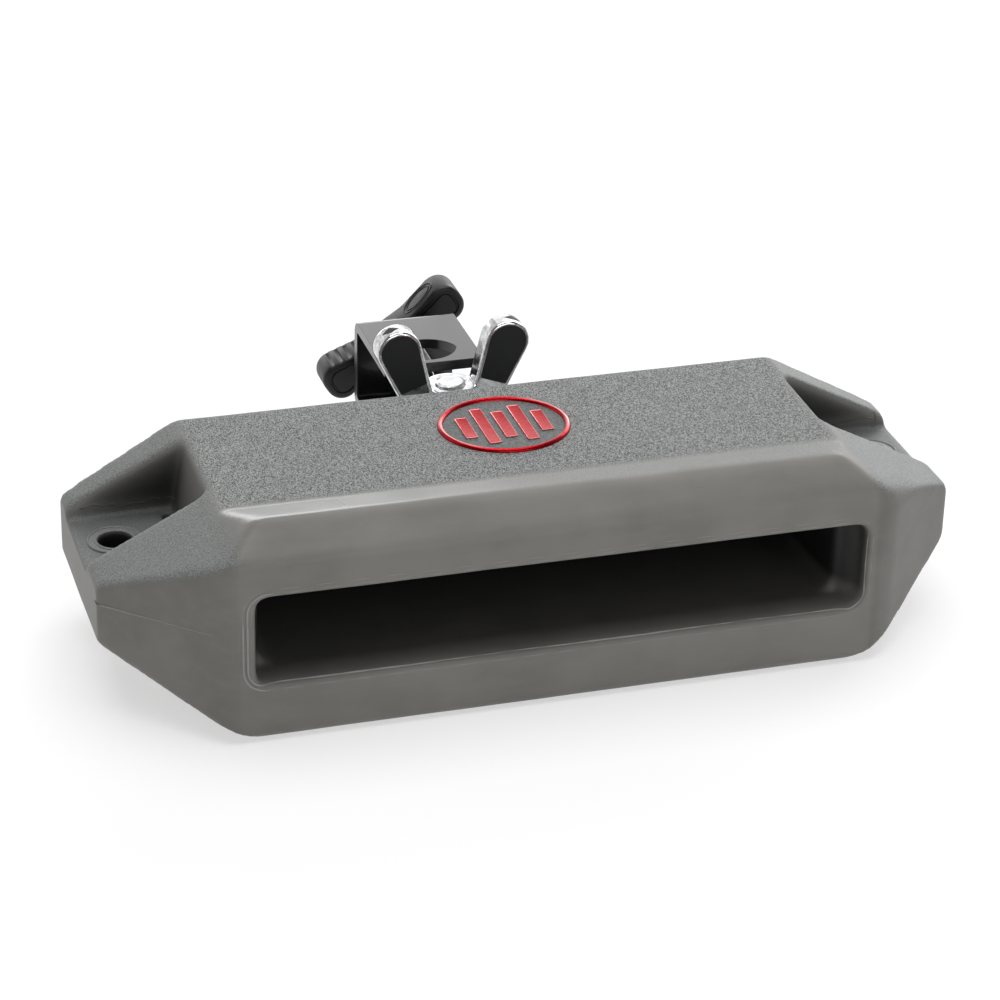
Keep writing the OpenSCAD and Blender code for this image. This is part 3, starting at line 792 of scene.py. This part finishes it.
def slot_painted_shade(co):
    """Painted shade inside the slot: darker with depth, least on its floor."""
    x, z = np.abs(co[:, 0]), co[:, 2]
    deep = co[:, 1] - BODY_LO.y
    dark = 0.12 + deep / (57 * MM) + 0.65 * smoothstep(SLOT_LOW + 2 * MM, SLOT_LOW + 6 * MM, z)
    end = np.where(deep < MOUTH_DEPTH + 1 * MM, SLOT_HALF + 0.7 * MM, SLOT_HALF - 3 * MM)
    inner = (x < end) * (z > SLOT_LOW - 1 * MM) * (z < SLOT_HIGH + 1 * MM) * (deep < CAVITY_END)
    return np.clip(dark, 0, 1) * smoothstep(0.7 * MM, 4 * MM, deep) * inner


def pocket_painted_shade(co):
    """Painted shade in each pocket, darkest at the foot of its rear wall."""
    x, y, z = np.abs(co[:, 0]), co[:, 1], co[:, 2]
    slope_z = PLATEAU_Z - (x - FLAT_HALF) * (PLATEAU_Z - EAR_Z) / EAR_LEN
    scale = np.where(co[:, 0] > 0, 2.2 * MM, 3.6 * MM)
    depth = 1 - np.exp(-np.maximum(slope_z - z - 0.6 * MM, 0) / scale)
    rear = np.exp(-np.maximum(POCKET_BACK - y, 0) / (8 * MM))
    within = (x > FLAT_HALF - 1 * MM) * (y < POCKET_BACK + 1.5 * MM) * (z > POCKET_FLOOR - 8 * MM)
    return depth * rear * within * (y > POCKET_FRONT - 1 * MM) * (x < BODY_HI.x - 0.5 * MM)


def paint_shell(mesh, co):
    """Where the plastic is coarse, medium, or smooth with a painted sheen, and where shade is
    painted, as attributes of the points.

    The ridge's band turns from smooth with the painted sheen at the left to half coarse at the
    right.
    """
    normal = normals_of(mesh)
    up = smoothstep(0.30, 0.75, normal[:, 2])
    back = smoothstep(0.02, 0.2, normal[:, 1])
    x, y, z = np.abs(co[:, 0]), co[:, 1], co[:, 2]
    behind = smoothstep(VALLEY_Y - 3 * MM, VALLEY_Y + 3 * MM, y)
    above = smoothstep(28 * MM, 32 * MM, z)
    on_flat = smoothstep(FLAT_HALF + 3 * MM, FLAT_HALF - 3 * MM, x)
    band = (1 - behind) * on_flat * smoothstep(50 * MM, 52 * MM, z) * back
    right = smoothstep(-90 * MM, 20 * MM, co[:, 0])
    coarse = up * above * on_flat * (behind + band * 0.45 * right)
    medium = up * above * (1 - on_flat)
    # Painted shade on the ears' faces that look to the front, more on the right ear
    ends = smoothstep(0.25, 0.5, -normal[:, 1]) * smoothstep(FLAT_HALF, FLAT_HALF + 2 * MM, x)
    ends = ends * (1 - up) * np.where(co[:, 0] > 0, 0.18, 0.1)
    shade = np.maximum(pocket_painted_shade(co), ends)
    layers = {"coarse": coarse, "medium": medium, "smooth_and_sheen": band * (1 - 0.75 * right),
              "inside": slot_painted_shade(co), "shade": shade}
    for name, values in layers.items():
        put_layer(mesh, name, values)


def put_layer(mesh, name, values):
    layer = mesh.attributes.new(name, "FLOAT", "POINT")
    layer.data.foreach_set("value", np.clip(values, 0, 1).astype(np.float32))


def block_shell():
    """The moulding as one soft shell, with its grain, painted sheen and painted shade as
    attributes.
    """
    sources = [node_mesh("body"), slot_lip(), badge_fill()]
    sources += [ear_plug(side) for side in ("left", "right")]
    sources += [wedge(side) for side in (-1, 1) for wedge in (pocket_wedge, slot_taper)]
    mesh = voxel_skin(sources, VOXEL)
    co = points_of(mesh)
    pairs = edge_pairs(mesh)
    co = relaxed(co, pairs, EVEN_ROUNDS, shell_weights(co))
    # The ridge, the front incline and the upper front folds are softer, most at the right
    front = smoothstep(BODY_LO.y + 19 * MM, BODY_LO.y + 12 * MM, co[:, 1])
    high = smoothstep(42.5 * MM, 46 * MM, co[:, 2])
    right = smoothstep(-70 * MM, 70 * MM, co[:, 0])
    co = relaxed(co, pairs, RIDGE_ROUNDS, SMOOTHING * front * high * (0.2 + 0.8 * right))
    # The slot's lip rolls in
    x, y, z = np.abs(co[:, 0]), co[:, 1], co[:, 2]
    in_mouth = (x < SLOT_HALF + 1 * MM) * (z > SLOT_LOW - 1 * MM) * (z < SLOT_HIGH + 1 * MM)
    roll = in_mouth * smoothstep(BODY_LO.y + 6 * MM, BODY_LO.y + 3 * MM, y)
    co = relaxed(co, pairs, LIP_ROUNDS, SMOOTHING * roll)
    # The smoothing drew the skin in, so it goes out again to the faces of the solid
    put_points(mesh, co)
    co += normals_of(mesh) * (SKIN + ripple(co, 9 * MM) * UNEVEN)[:, None]
    co = np.clip(co, BODY_LO + SKIN_INSET, BODY_HI)
    put_points(mesh, co)
    paint_shell(mesh, co)
    mat = block_plastic()
    shell = new_piece("block_shell", smooth_shaded(mesh), mat, "block", "block_plastic", "body")
    mould_lines(shell, mat)


def mesh_tree(mesh):
    return BVHTree.FromPolygons([v.co for v in mesh.vertices], [p.vertices for p in mesh.polygons])


def onto(tree, start, way):
    """Where a line from start along way meets the mesh of the tree, or None."""
    return tree.ray_cast(Vector(start), Vector(way).normalized())[0]


def fractions(count):
    """Values from 0 to 1 in even steps."""
    return [k / (count - 1) for k in range(count)]


def laid_line(tree, starts, way, radii, lift=0.0, closed=False):
    """Tube through the places where lines from the starts along way meet the mesh."""
    points, kept = [], []
    for start, radius in zip(starts, radii):
        hit = onto(tree, start, way)
        if hit is not None:
            points.append(hit + Vector((0, lift, 0)))
            kept.append(radius)
    return tube(points, kept, closed=closed)


def below_corners(z):
    """0 at the slot's upper corners and 1 further down."""
    return smoothstep(SLOT_HIGH - 4 * MM, SLOT_HIGH - 9 * MM, z)


def inner_bead(x, z):
    """Strength of the bead along the lip: most at the left, uneven below, weak at the right."""
    left = smoothstep(-74 * MM, -80 * MM, x) * 0.9
    below = smoothstep(SLOT_LOW + 3 * MM, SLOT_LOW, z) * (0.45 + 0.3 * math.sin(x * 90))
    right = smoothstep(74 * MM, 80 * MM, x) * 0.35 * below_corners(z)
    return max(left, below, right)


def outer_bead(x, z):
    """Strength of the second bead, which shows at the left alone."""
    return smoothstep(-76 * MM, -79 * MM, x) * 0.8 * below_corners(z)


def slot_bead(tree, grow, strength):
    """Bead on the front face round the slot, grown by a width."""
    outline = even_outline(slot_outline(grow), 0.8 * MM)
    starts = [(x, BODY_LO.y - 5 * MM, z) for x, z in outline]
    radii = []
    for x, z in outline:
        radii.append((0.06 + 0.36 * strength(x, z) + 0.06 * math.sin(700 * x + 900 * z)) * MM)
    return laid_line(tree, starts, BACKWARD, radii, 0.04 * MM, closed=True)


def parting_line(tree):
    """The mould's parting line at the left end, with painted shade in the nick where it starts."""
    start = Vector((-BODY_HI.x, BODY_LO.y + 27 * MM, PARTING_Z))
    end = Vector((-FLAT_HALF - 8 * MM, BODY_LO.y + 2 * MM, PARTING_Z))
    way = Vector((0.65, 0.76, 0))
    starts = [start.lerp(end, t) - way * 20 * MM for t in fractions(90)]
    radii = [(0.24 - 0.14 * t + 0.03 * math.sin(50 * t)) * MM for t in fractions(90)]
    line = laid_line(tree, starts, way, radii)
    nick = smoothstep(start.y - 3 * MM, start.y - 1.5 * MM, points_of(line)[:, 1])
    put_layer(line, "shade", 0.8 * nick)
    return line


def mould_lines(shell, mat):
    """Beads round the slot, the parting line, flash in the pockets and a crease at the right, with
    a painted sheen on the beads and the parting line and painted shade on the flash and the
    crease.
    """
    tree = mesh_tree(shell.data)
    lines = [slot_bead(tree, 0, inner_bead), slot_bead(tree, 1.1 * MM, outer_bead),
             parting_line(tree)]
    # The beads and the parting line take the painted sheen along with the smoother finish
    for mesh in lines:
        put_layer(mesh, "smooth_and_sheen", np.full(len(mesh.vertices), 0.8))
    flash = [pocket_flash(side, tree) for side in (-1, 1)] + [ear_crease(tree)]
    # The flash and the crease get painted shade, at least half dark
    for mesh in flash:
        put_layer(mesh, "shade", np.maximum(pocket_painted_shade(points_of(mesh)), 0.5))
    joined = closed_mesh("lines", *lines, *flash)
    put_points(joined, np.clip(points_of(joined), BODY_LO, BODY_HI))
    new_piece("mould_lines", smooth_shaded(joined), mat, "block", "block_plastic")


def pocket_flash(side, tree):
    """Wavy line of flash along the top of the ledge at the rear wall's foot."""
    starts, radii = [], []
    for t in fractions(60):
        z = POCKET_FLOOR + LEDGE_HIGH + (0.35 * math.sin(9 * t) + 0.25 * math.sin(31 * t)) * MM
        starts.append((side * (FLAT_HALF + (3 + 25 * t) * MM), POCKET_FRONT + 4 * MM, z))
        radii.append((0.10 + 0.10 * t + 0.06 * math.sin(40 * t)) * MM)
    return laid_line(tree, starts, BACKWARD, radii, 0.05 * MM)


def ear_crease(tree):
    """Fold that runs up the outer end of the right ear's rear wall."""
    starts, radii = [], []
    for t in fractions(30):
        x = (110.6 + 1.5 * math.sin(2.4 * t)) * MM
        starts.append((x, POCKET_FRONT + 4 * MM, POCKET_FLOOR + (0.6 + 3.6 * t) * MM))
        radii.append((0.14 + 0.2 * math.sin(math.pi * t)) * MM)
    return laid_line(tree, starts, BACKWARD, radii)


def ear_bushes():
    """Lining tubes with a fine ring at the outer edge, a rolled lip round the bore and painted
    shade down the bore.
    """
    mat = bush_plastic()
    for side in ("left", "right"):
        node = side + "_ear_bush"
        lo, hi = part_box(node)
        x, y = ear_hole(side)
        outer, top = (hi.x - lo.x) / 2, hi.z + 0.28 * MM
        tube_wall = [(EAR_BORE, lo.z), (outer, lo.z), (outer, top - 0.3 * MM)]
        fine_ring = [(outer - 0.10 * MM, top - 0.08 * MM), (outer - 0.3 * MM, top - 0.02 * MM),
                     (outer - 0.5 * MM, top - 0.1 * MM), (outer - 0.6 * MM, top - 0.3 * MM)]
        lip = [(EAR_BORE + 0.95 * MM, top - 0.34 * MM), (EAR_BORE + 0.8 * MM, top - 0.1 * MM),
               (EAR_BORE + 0.6 * MM, top), (EAR_BORE + 0.35 * MM, top),
               (EAR_BORE + 0.12 * MM, top - 0.1 * MM)]
        bore = [(EAR_BORE, top - deep * MM) for deep in (0.4, 1.5, 3)]
        mesh = smooth_shaded(lathe(tube_wall + fine_ring + lip + bore, upright(x, y)), 50)
        co = points_of(mesh)
        # Painted shade down the bore, darker with depth
        in_bore = np.hypot(co[:, 0] - x, co[:, 1] - y) < EAR_BORE + 0.2 * MM
        put_layer(mesh, "shade", in_bore * smoothstep(top - 0.1 * MM, top - 2 * MM, co[:, 2]))
        new_piece(side + "_bush", mesh, mat, "block", "bush_plastic", node)


def badge():
    """Oval ring with a round section, five bars and a field let into the plateau."""
    red = red_enamel()
    lo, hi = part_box("badge_rim")
    middle = (lo + hi) / 2
    a, b = (hi.x - lo.x) / 2 - RIM_WIDE / 2, (hi.y - lo.y) / 2 - RIM_WIDE / 2
    outline = ellipse(a, b, 128)
    ring = badge_ring(outline, middle, lo.z - RIM_SINK, hi.z - lo.z)
    # Painted highlight: a pale line along the ring's crown, strongest on two opposite sides
    co = points_of(ring) - np.array(middle)
    off = np.abs(np.hypot(co[:, 0] / a, co[:, 1] / b) - 1) * b
    angle = np.arctan2(co[:, 1], co[:, 0])
    crown_highlight = smoothstep(0.35 * MM, 0.08 * MM, off) * smoothstep(-0.2, 0.9, np.cos(2 * angle - 0.6))
    put_layer(ring, "edge", crown_highlight)
    new_piece("badge_ring", ring, red, "block", "badge_red", "badge_rim")
    new_piece("badge_bars", bordered_bars(), red, "block", "badge_red", "badge_motif")
    profile = [(0, PLATEAU_Z - 0.4 * MM), (0, PLATEAU_Z + 0.3 * MM),
               (0.4 * MM, PLATEAU_Z + 0.34 * MM)]
    field = inset_loft(outline, profile, upright(middle.x, middle.y))
    new_piece("badge_dish", field, badge_field(), "block", "badge_grey", "badge_plate")


def badge_ring(outline, middle, foot, high):
    """Ring along the outline with a round section of this height above its foot."""
    steps = 16
    rings = []
    for p, n in zip(outline, outward(outline)):
        ring = []
        for k in range(steps + 1):
            angle = math.pi * k / steps
            reach = math.cos(angle) * RIM_WIDE / 2
            ring.append(Vector((middle.x + p[0] + n[0] * reach, middle.y + p[1] + n[1] * reach,
                                foot + math.sin(angle) ** 0.8 * high)))
        rings.append(ring)
    return smooth_shaded(loft(rings, around=True), 60)


def bordered_bars():
    """The motif's bars with a fine raised border round each top, which carries a painted
    highlight.
    """
    mesh = closed_mesh("badge_bars", node_mesh("badge_motif"))
    bm = flat_faced(mesh)
    bm.normal_update()
    # The border's points carry the painted highlight
    layer = bm.verts.layers.float.new("edge")
    tops = [face for face in bm.faces if face.normal.z > 0.95]
    for vert in {vert for face in tops for vert in face.verts}:
        vert[layer] = 1
    bmesh.ops.inset_individual(bm, faces=tops, thickness=0.3 * MM, depth=-0.16 * MM)
    for vert in {vert for face in tops for vert in face.verts}:
        vert[layer] = 0
    bm.to_mesh(mesh)
    bm.free()
    return smooth_shaded(bevelled(mesh, 0.1 * MM, 2, 20), 40)


# Hardware


def threaded(profile, place, thread_from, thread_to):
    """Rod of the profile's radius along its height, with a helical thread between two heights."""
    count, step = 40, PITCH_M8 / 8
    heights = [h for _, h in profile]
    levels = set(heights)
    h = heights[0]
    while h < heights[-1]:
        levels.add(h)
        # Fine steps along the thread, coarse ones along the plain shank
        h += step if thread_from - step < h < thread_to else step * 6
    rings = []
    for h in sorted(levels):
        r = np.interp(h, heights, [r for r, _ in profile])
        fade = smoothstep(0, PITCH_M8, h - thread_from) * smoothstep(0, PITCH_M8, thread_to - h)
        ring = []
        for k in range(count):
            turn = k / count
            phase = abs((h / PITCH_M8 - turn) % 1 * 2 - 1)
            groove = np.clip(phase * 1.3 - 0.15, 0, 1) * THREAD_DEEP * fade
            angle = 2 * math.pi * turn
            ring.append(place(((r - groove) * math.cos(angle), (r - groove) * math.sin(angle)), h))
        rings.append(ring)
    return smooth_shaded(loft(rings), 40)


def fixed_hardware(steel):
    """Mounting plate with its screws, the friction washer and the carriage bolt."""
    dressed("mount_plate", "rear_plate", steel, "block", "zinc_steel", 0.35 * MM)
    dressed("plate_screws", "rear_screws", steel, "block", "zinc_steel", 0.15 * MM, 2)
    dressed("plate_washers", "rear_washers", steel, "block", "zinc_steel", 0.15 * MM, 2)
    dressed("plate_inserts", "rear_inserts", brass(), "block", "brass", 0.1 * MM, 2)
    dressed("fibre_washer", "friction_disc", fibre(), "block", "fibre", 0.15 * MM, 2)
    lo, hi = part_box("pivot_bolt")
    head_r, head_z = (hi.y - lo.y) / 2, lo.z + BOLT_HEAD_HIGH
    profile = []
    for k in range(1, 9):
        angle = k * math.pi / 16
        profile.append((head_r * math.sin(angle), lo.z + BOLT_HEAD_HIGH * (1 - math.cos(angle))))
    profile += [(head_r, head_z + 0.01 * MM), (THREAD_R, head_z + 0.02 * MM),
                (THREAD_R, hi.z - 0.6 * MM), (THREAD_R - 0.6 * MM, hi.z)]
    bolt = threaded(profile, upright(0, (lo.y + hi.y) / 2), lo.z + 9 * MM, hi.z)
    new_piece("swivel_bolt", bolt, steel, "block", "zinc_steel", "pivot_bolt")


def inlay_outline(low_z):
    """The right inlay's outline in X and Z: the wing's, drawn in by its rim."""
    top_z = low_z + HUB_HIGH

    def at(u, v):
        return (WING_ROOT_X + u * math.cos(WING_LEAN) + v * math.sin(WING_LEAN),
                top_z - u * math.sin(WING_LEAN) + v * math.cos(WING_LEAN))
    top_r, root = WING_TOP_R - PAD_RIM, WING_ROOT_HALF - PAD_RIM
    far = WING_LEN + top_r
    spread = math.atan((top_r - root) / (far - PAD_RIM))
    round_r = top_r * math.tan(math.pi / 4 - spread / 2) * FULL_ROUND_SHARE
    corners = [at(-root, PAD_RIM), at(root, PAD_RIM), at(top_r, far), at(-top_r, far)]
    radii = [0.5 * MM, 0.5 * MM, round_r, round_r]
    return even_outline(round_corners(corners, radii, 12), 0.5 * MM)


def wing_nut(bright):
    """Soft casting with dark inlays in both faces of each wing."""
    lo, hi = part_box("wing_nut")
    pads_lo, pads_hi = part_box("right_wing_pads")
    nodes = ("wing_nut", "left_wing_pads", "right_wing_pads")
    casting = voxel_skin([node_mesh(node) for node in nodes], WING_VOXEL)
    co = points_of(casting)
    evenly = np.full(len(co), SMOOTHING)
    put_points(casting, relaxed(co, edge_pairs(casting), WING_ROUNDS, evenly))
    new_piece("wing_casting", smooth_shaded(casting), bright, "nut", "chrome", "wing_nut")
    tree = mesh_tree(casting)
    mat = pad_rubber()
    middle = (lo.y + hi.y) / 2
    reach = (pads_hi.y - pads_lo.y) / 2
    outline = inlay_outline(lo.z)
    profile = [(0, -0.9 * MM), (0, -0.05 * MM)] + round_edge(0.25 * MM, 0.12 * MM)
    for side, name in ((-1, "left"), (1, "right")):
        pads = []
        for face in (-1, 1):
            def place(p, height):
                return Vector((side * p[0], middle + face * (reach + height), p[1]))
            pads.append(inset_loft(outline, profile, place))
        mesh = smooth_shaded(closed_mesh(name, *pads), 40)
        new_piece(name + "_inlays", mesh, mat, "nut", "pad_rubber", name + "_wing_pads")
        # A dark diamond on each wing's tip, a painted reflection
        painted_reflection = wing_painted_reflection(side, middle, lo.z, hi.z, tree)
        new_piece(name + "_dimple", painted_reflection, mat, "nut", "pad_rubber")


def wing_painted_reflection(side, middle, low_z, high_z, tree):
    """Plain dark diamond laid onto the round tip of a wing: a painted dark reflection."""
    wide_way = Vector((math.cos(WING_LEAN), 0, -math.sin(WING_LEAN)))
    up_way = Vector((math.sin(WING_LEAN), 0, math.cos(WING_LEAN)))
    root = Vector((WING_ROOT_X, middle, low_z + HUB_HIGH))
    corners = ((1, 0), (0, 1), (-1, 0), (0, -1), (1, 0))
    per_side = 8
    rings = []
    # From under the casting's skin up to the rim, then in over the top
    steps = [(1, -0.5 * MM), (1, 0.03 * MM)]
    steps += [(scale, 0.07 * MM) for scale in (0.9, 0.7, 0.5, 0.25, 0.05)]
    for scale, rise in steps:
        ring = []
        for k in range(4 * per_side):
            corner, share = k // per_side, k % per_side / per_side
            here, there = corners[corner], corners[corner + 1]
            across = (here[0] + (there[0] - here[0]) * share) * DIAMOND_WIDE * scale
            along = (here[1] + (there[1] - here[1]) * share) * DIAMOND_DEEP * scale
            start = root + wide_way * across + up_way * 30 * MM + Vector((0, along, 0))
            way = up_way.copy()
            start.x, way.x = side * start.x, side * way.x
            point = onto(tree, start, -way) + way * rise
            point.z = min(point.z, high_z)
            ring.append(point)
        rings.append(ring)
    return smooth_shaded(loft(rings), 40)


def handle_outline():
    """The T-handle's outline along and across its arms."""
    half, grip, arm = HANDLE_LEN / 2, HANDLE_END / 2, HANDLE_ARM / 2
    quarter = [(HANDLE_ARM_X, arm), (HANDLE_BULB, grip), (half, grip)]
    back = quarter[::-1]
    corners = ([(x, -y) for x, y in quarter] + back + [(-x, y) for x, y in quarter]
               + [(-x, -y) for x, y in back])
    radii = [BOSS_R, grip, HANDLE_END_R]
    return even_outline(round_corners(corners, (radii + radii[::-1]) * 2), 0.32 * MM)


def handle_point(p, y):
    """Place of a point along and across the arms, at y."""
    return Vector((p[0] * math.cos(HANDLE_TILT) - p[1] * math.sin(HANDLE_TILT), y,
                   HANDLE_Z + p[0] * math.sin(HANDLE_TILT) + p[1] * math.cos(HANDLE_TILT)))


def handle_bar(front):
    """The handle's two arms: round edges, a groove round each broad face and ribs on one arm."""
    outline = handle_outline()
    normal = outward(outline)
    x, half = outline[:, 0], HANDLE_DEEP / 2
    ribs = smoothstep(0.15, 0.6, 0.5 - 0.5 * np.cos((x + HANDLE_BULB) / RIB_PITCH * 2 * math.pi))
    on_arm = smoothstep(-HANDLE_BULB - 2.2 * MM, -HANDLE_BULB, x)
    on_arm *= smoothstep(-HANDLE_ARM_X, -HANDLE_ARM_X - 2 * MM, x)
    groove = (1 - ribs) * on_arm * RIB_DEEP
    face = [(1.9 * MM, 0), (2.1 * MM, -0.4 * MM), (2.5 * MM, -0.4 * MM), (2.75 * MM, 0)]
    steps = (round_edge(1.3 * MM, 0) + face)[::-1]
    profile = [(inset, -half - h) for inset, h in steps]
    profile += [(inset, -y) for inset, y in profile[::-1]]
    rings = []
    for inset, y in profile:
        cut = groove * (1 - smoothstep(half - 2.4 * MM, half, abs(y)))
        drawn = outline - normal * (inset + cut)[:, None]
        rings.append([handle_point(p, front + half + y) for p in drawn])
    return loft(rings)


def handle_boss(low, high):
    """Round boss in which the screw's end is held."""
    edge = 0.5 * MM
    return lathe([(THREAD_R, low), (BOSS_R - edge, low), (BOSS_R, low + edge),
                  (BOSS_R, high - edge), (BOSS_R - edge, high), (THREAD_R, high)], lying(HANDLE_Z))


def handle_oval(a, b, y):
    """Raised oval line on the smooth arm's upper side, where the real one bears a mark."""
    slope = (HANDLE_END - HANDLE_ARM) / 2 / (HANDLE_BULB - HANDLE_ARM_X)
    points = []
    for u, v in ellipse(a, b, 48):
        x = HANDLE_BULB - 4.9 * MM + u
        across = HANDLE_ARM / 2 + (x - HANDLE_ARM_X) * slope - 0.05 * MM
        points.append(handle_point((x, across), y + v))
    return tube(points, [0.26 * MM] * len(points), 8, closed=True)


def turning_handle():
    """Moulded T-handle with its boss and two oval lines."""
    lo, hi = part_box("t_handle")
    front = hi.y - HANDLE_DEEP
    middle = front + HANDLE_DEEP / 2
    parts = [handle_bar(front), handle_boss(lo.y, middle),
             handle_oval(5.6 * MM, 3.5 * MM, middle), handle_oval(4.5 * MM, 2.5 * MM, middle)]
    mesh = smooth_shaded(closed_mesh("handle", *parts), 35)
    new_piece("turning_handle", mesh, handle_plastic(), "screw", "handle_plastic", "t_handle")


def clamp_screw(bright):
    """Threaded screw from its pilot in the foot to its end in the handle."""
    lo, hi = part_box("clamp_screw")
    shoulder = lo.y + PILOT_LEN
    profile = [(PILOT_R - 0.2 * MM, lo.y), (PILOT_R, lo.y + 0.2 * MM), (PILOT_R, shoulder),
               (THREAD_R - 0.6 * MM, shoulder + 0.01 * MM), (THREAD_R, shoulder + 0.6 * MM),
               (THREAD_R, hi.y)]
    mesh = threaded(profile, lying((lo.z + hi.z) / 2), shoulder, hi.y - 6 * MM)
    new_piece("tightening_screw", mesh, bright, "screw", "chrome", "clamp_screw")


def moving_hardware(steel, bright):
    """The bracket and all that turns or slides."""
    dressed("clamp_bracket", "clamp_frame", black_enamel(), "bracket", "black_steel", 0.4 * MM)
    dressed("weld_nut", "hex_nut", steel, "bracket", "zinc_steel", 0.4 * MM)
    dressed("flat_washer", "flat_disc", steel, "washers", "zinc_steel", 0.2 * MM, 2)
    dressed("spring_washer", "split_disc", steel, "washers", "zinc_steel", 0.15 * MM, 2)
    dressed("screw_foot", "pressure_foot", bright, "foot", "chrome", 0.5 * MM)
    wing_nut(bright)
    clamp_screw(bright)
    turning_handle()


make_camera()
make_world(ambient=0.25, zenith=0.35, front=0.3)
make_lamp("key", (0.80, 0.72, 0.46), (0.8, 0.5), 5.4)
make_lamp("back_panel", (0.42, 1.32, 0.70), (1.5, 0.7), 3.0)
make_lamp("top", (0.0, 0.1, 1.5), (1.5, 1.5), 23.0)
make_lamp("front", (0.2, -1.4, 0.4), (1.2, 0.6), 5.6)
make_lamp("left", (-1.1, 0.5, 0.45), (0.7, 0.5), 1.0)
make_lamp("rear_low", (-0.05, 0.70, 0.13), (0.5, 0.2), 0.6)
make_floor(own_light=0.55)
bpy.context.scene.view_settings.view_transform = "Standard"

block_shell()
ear_bushes()
badge()
zinc_steel, polished = zinc(), chrome()
fixed_hardware(zinc_steel)
moving_hardware(zinc_steel, polished)
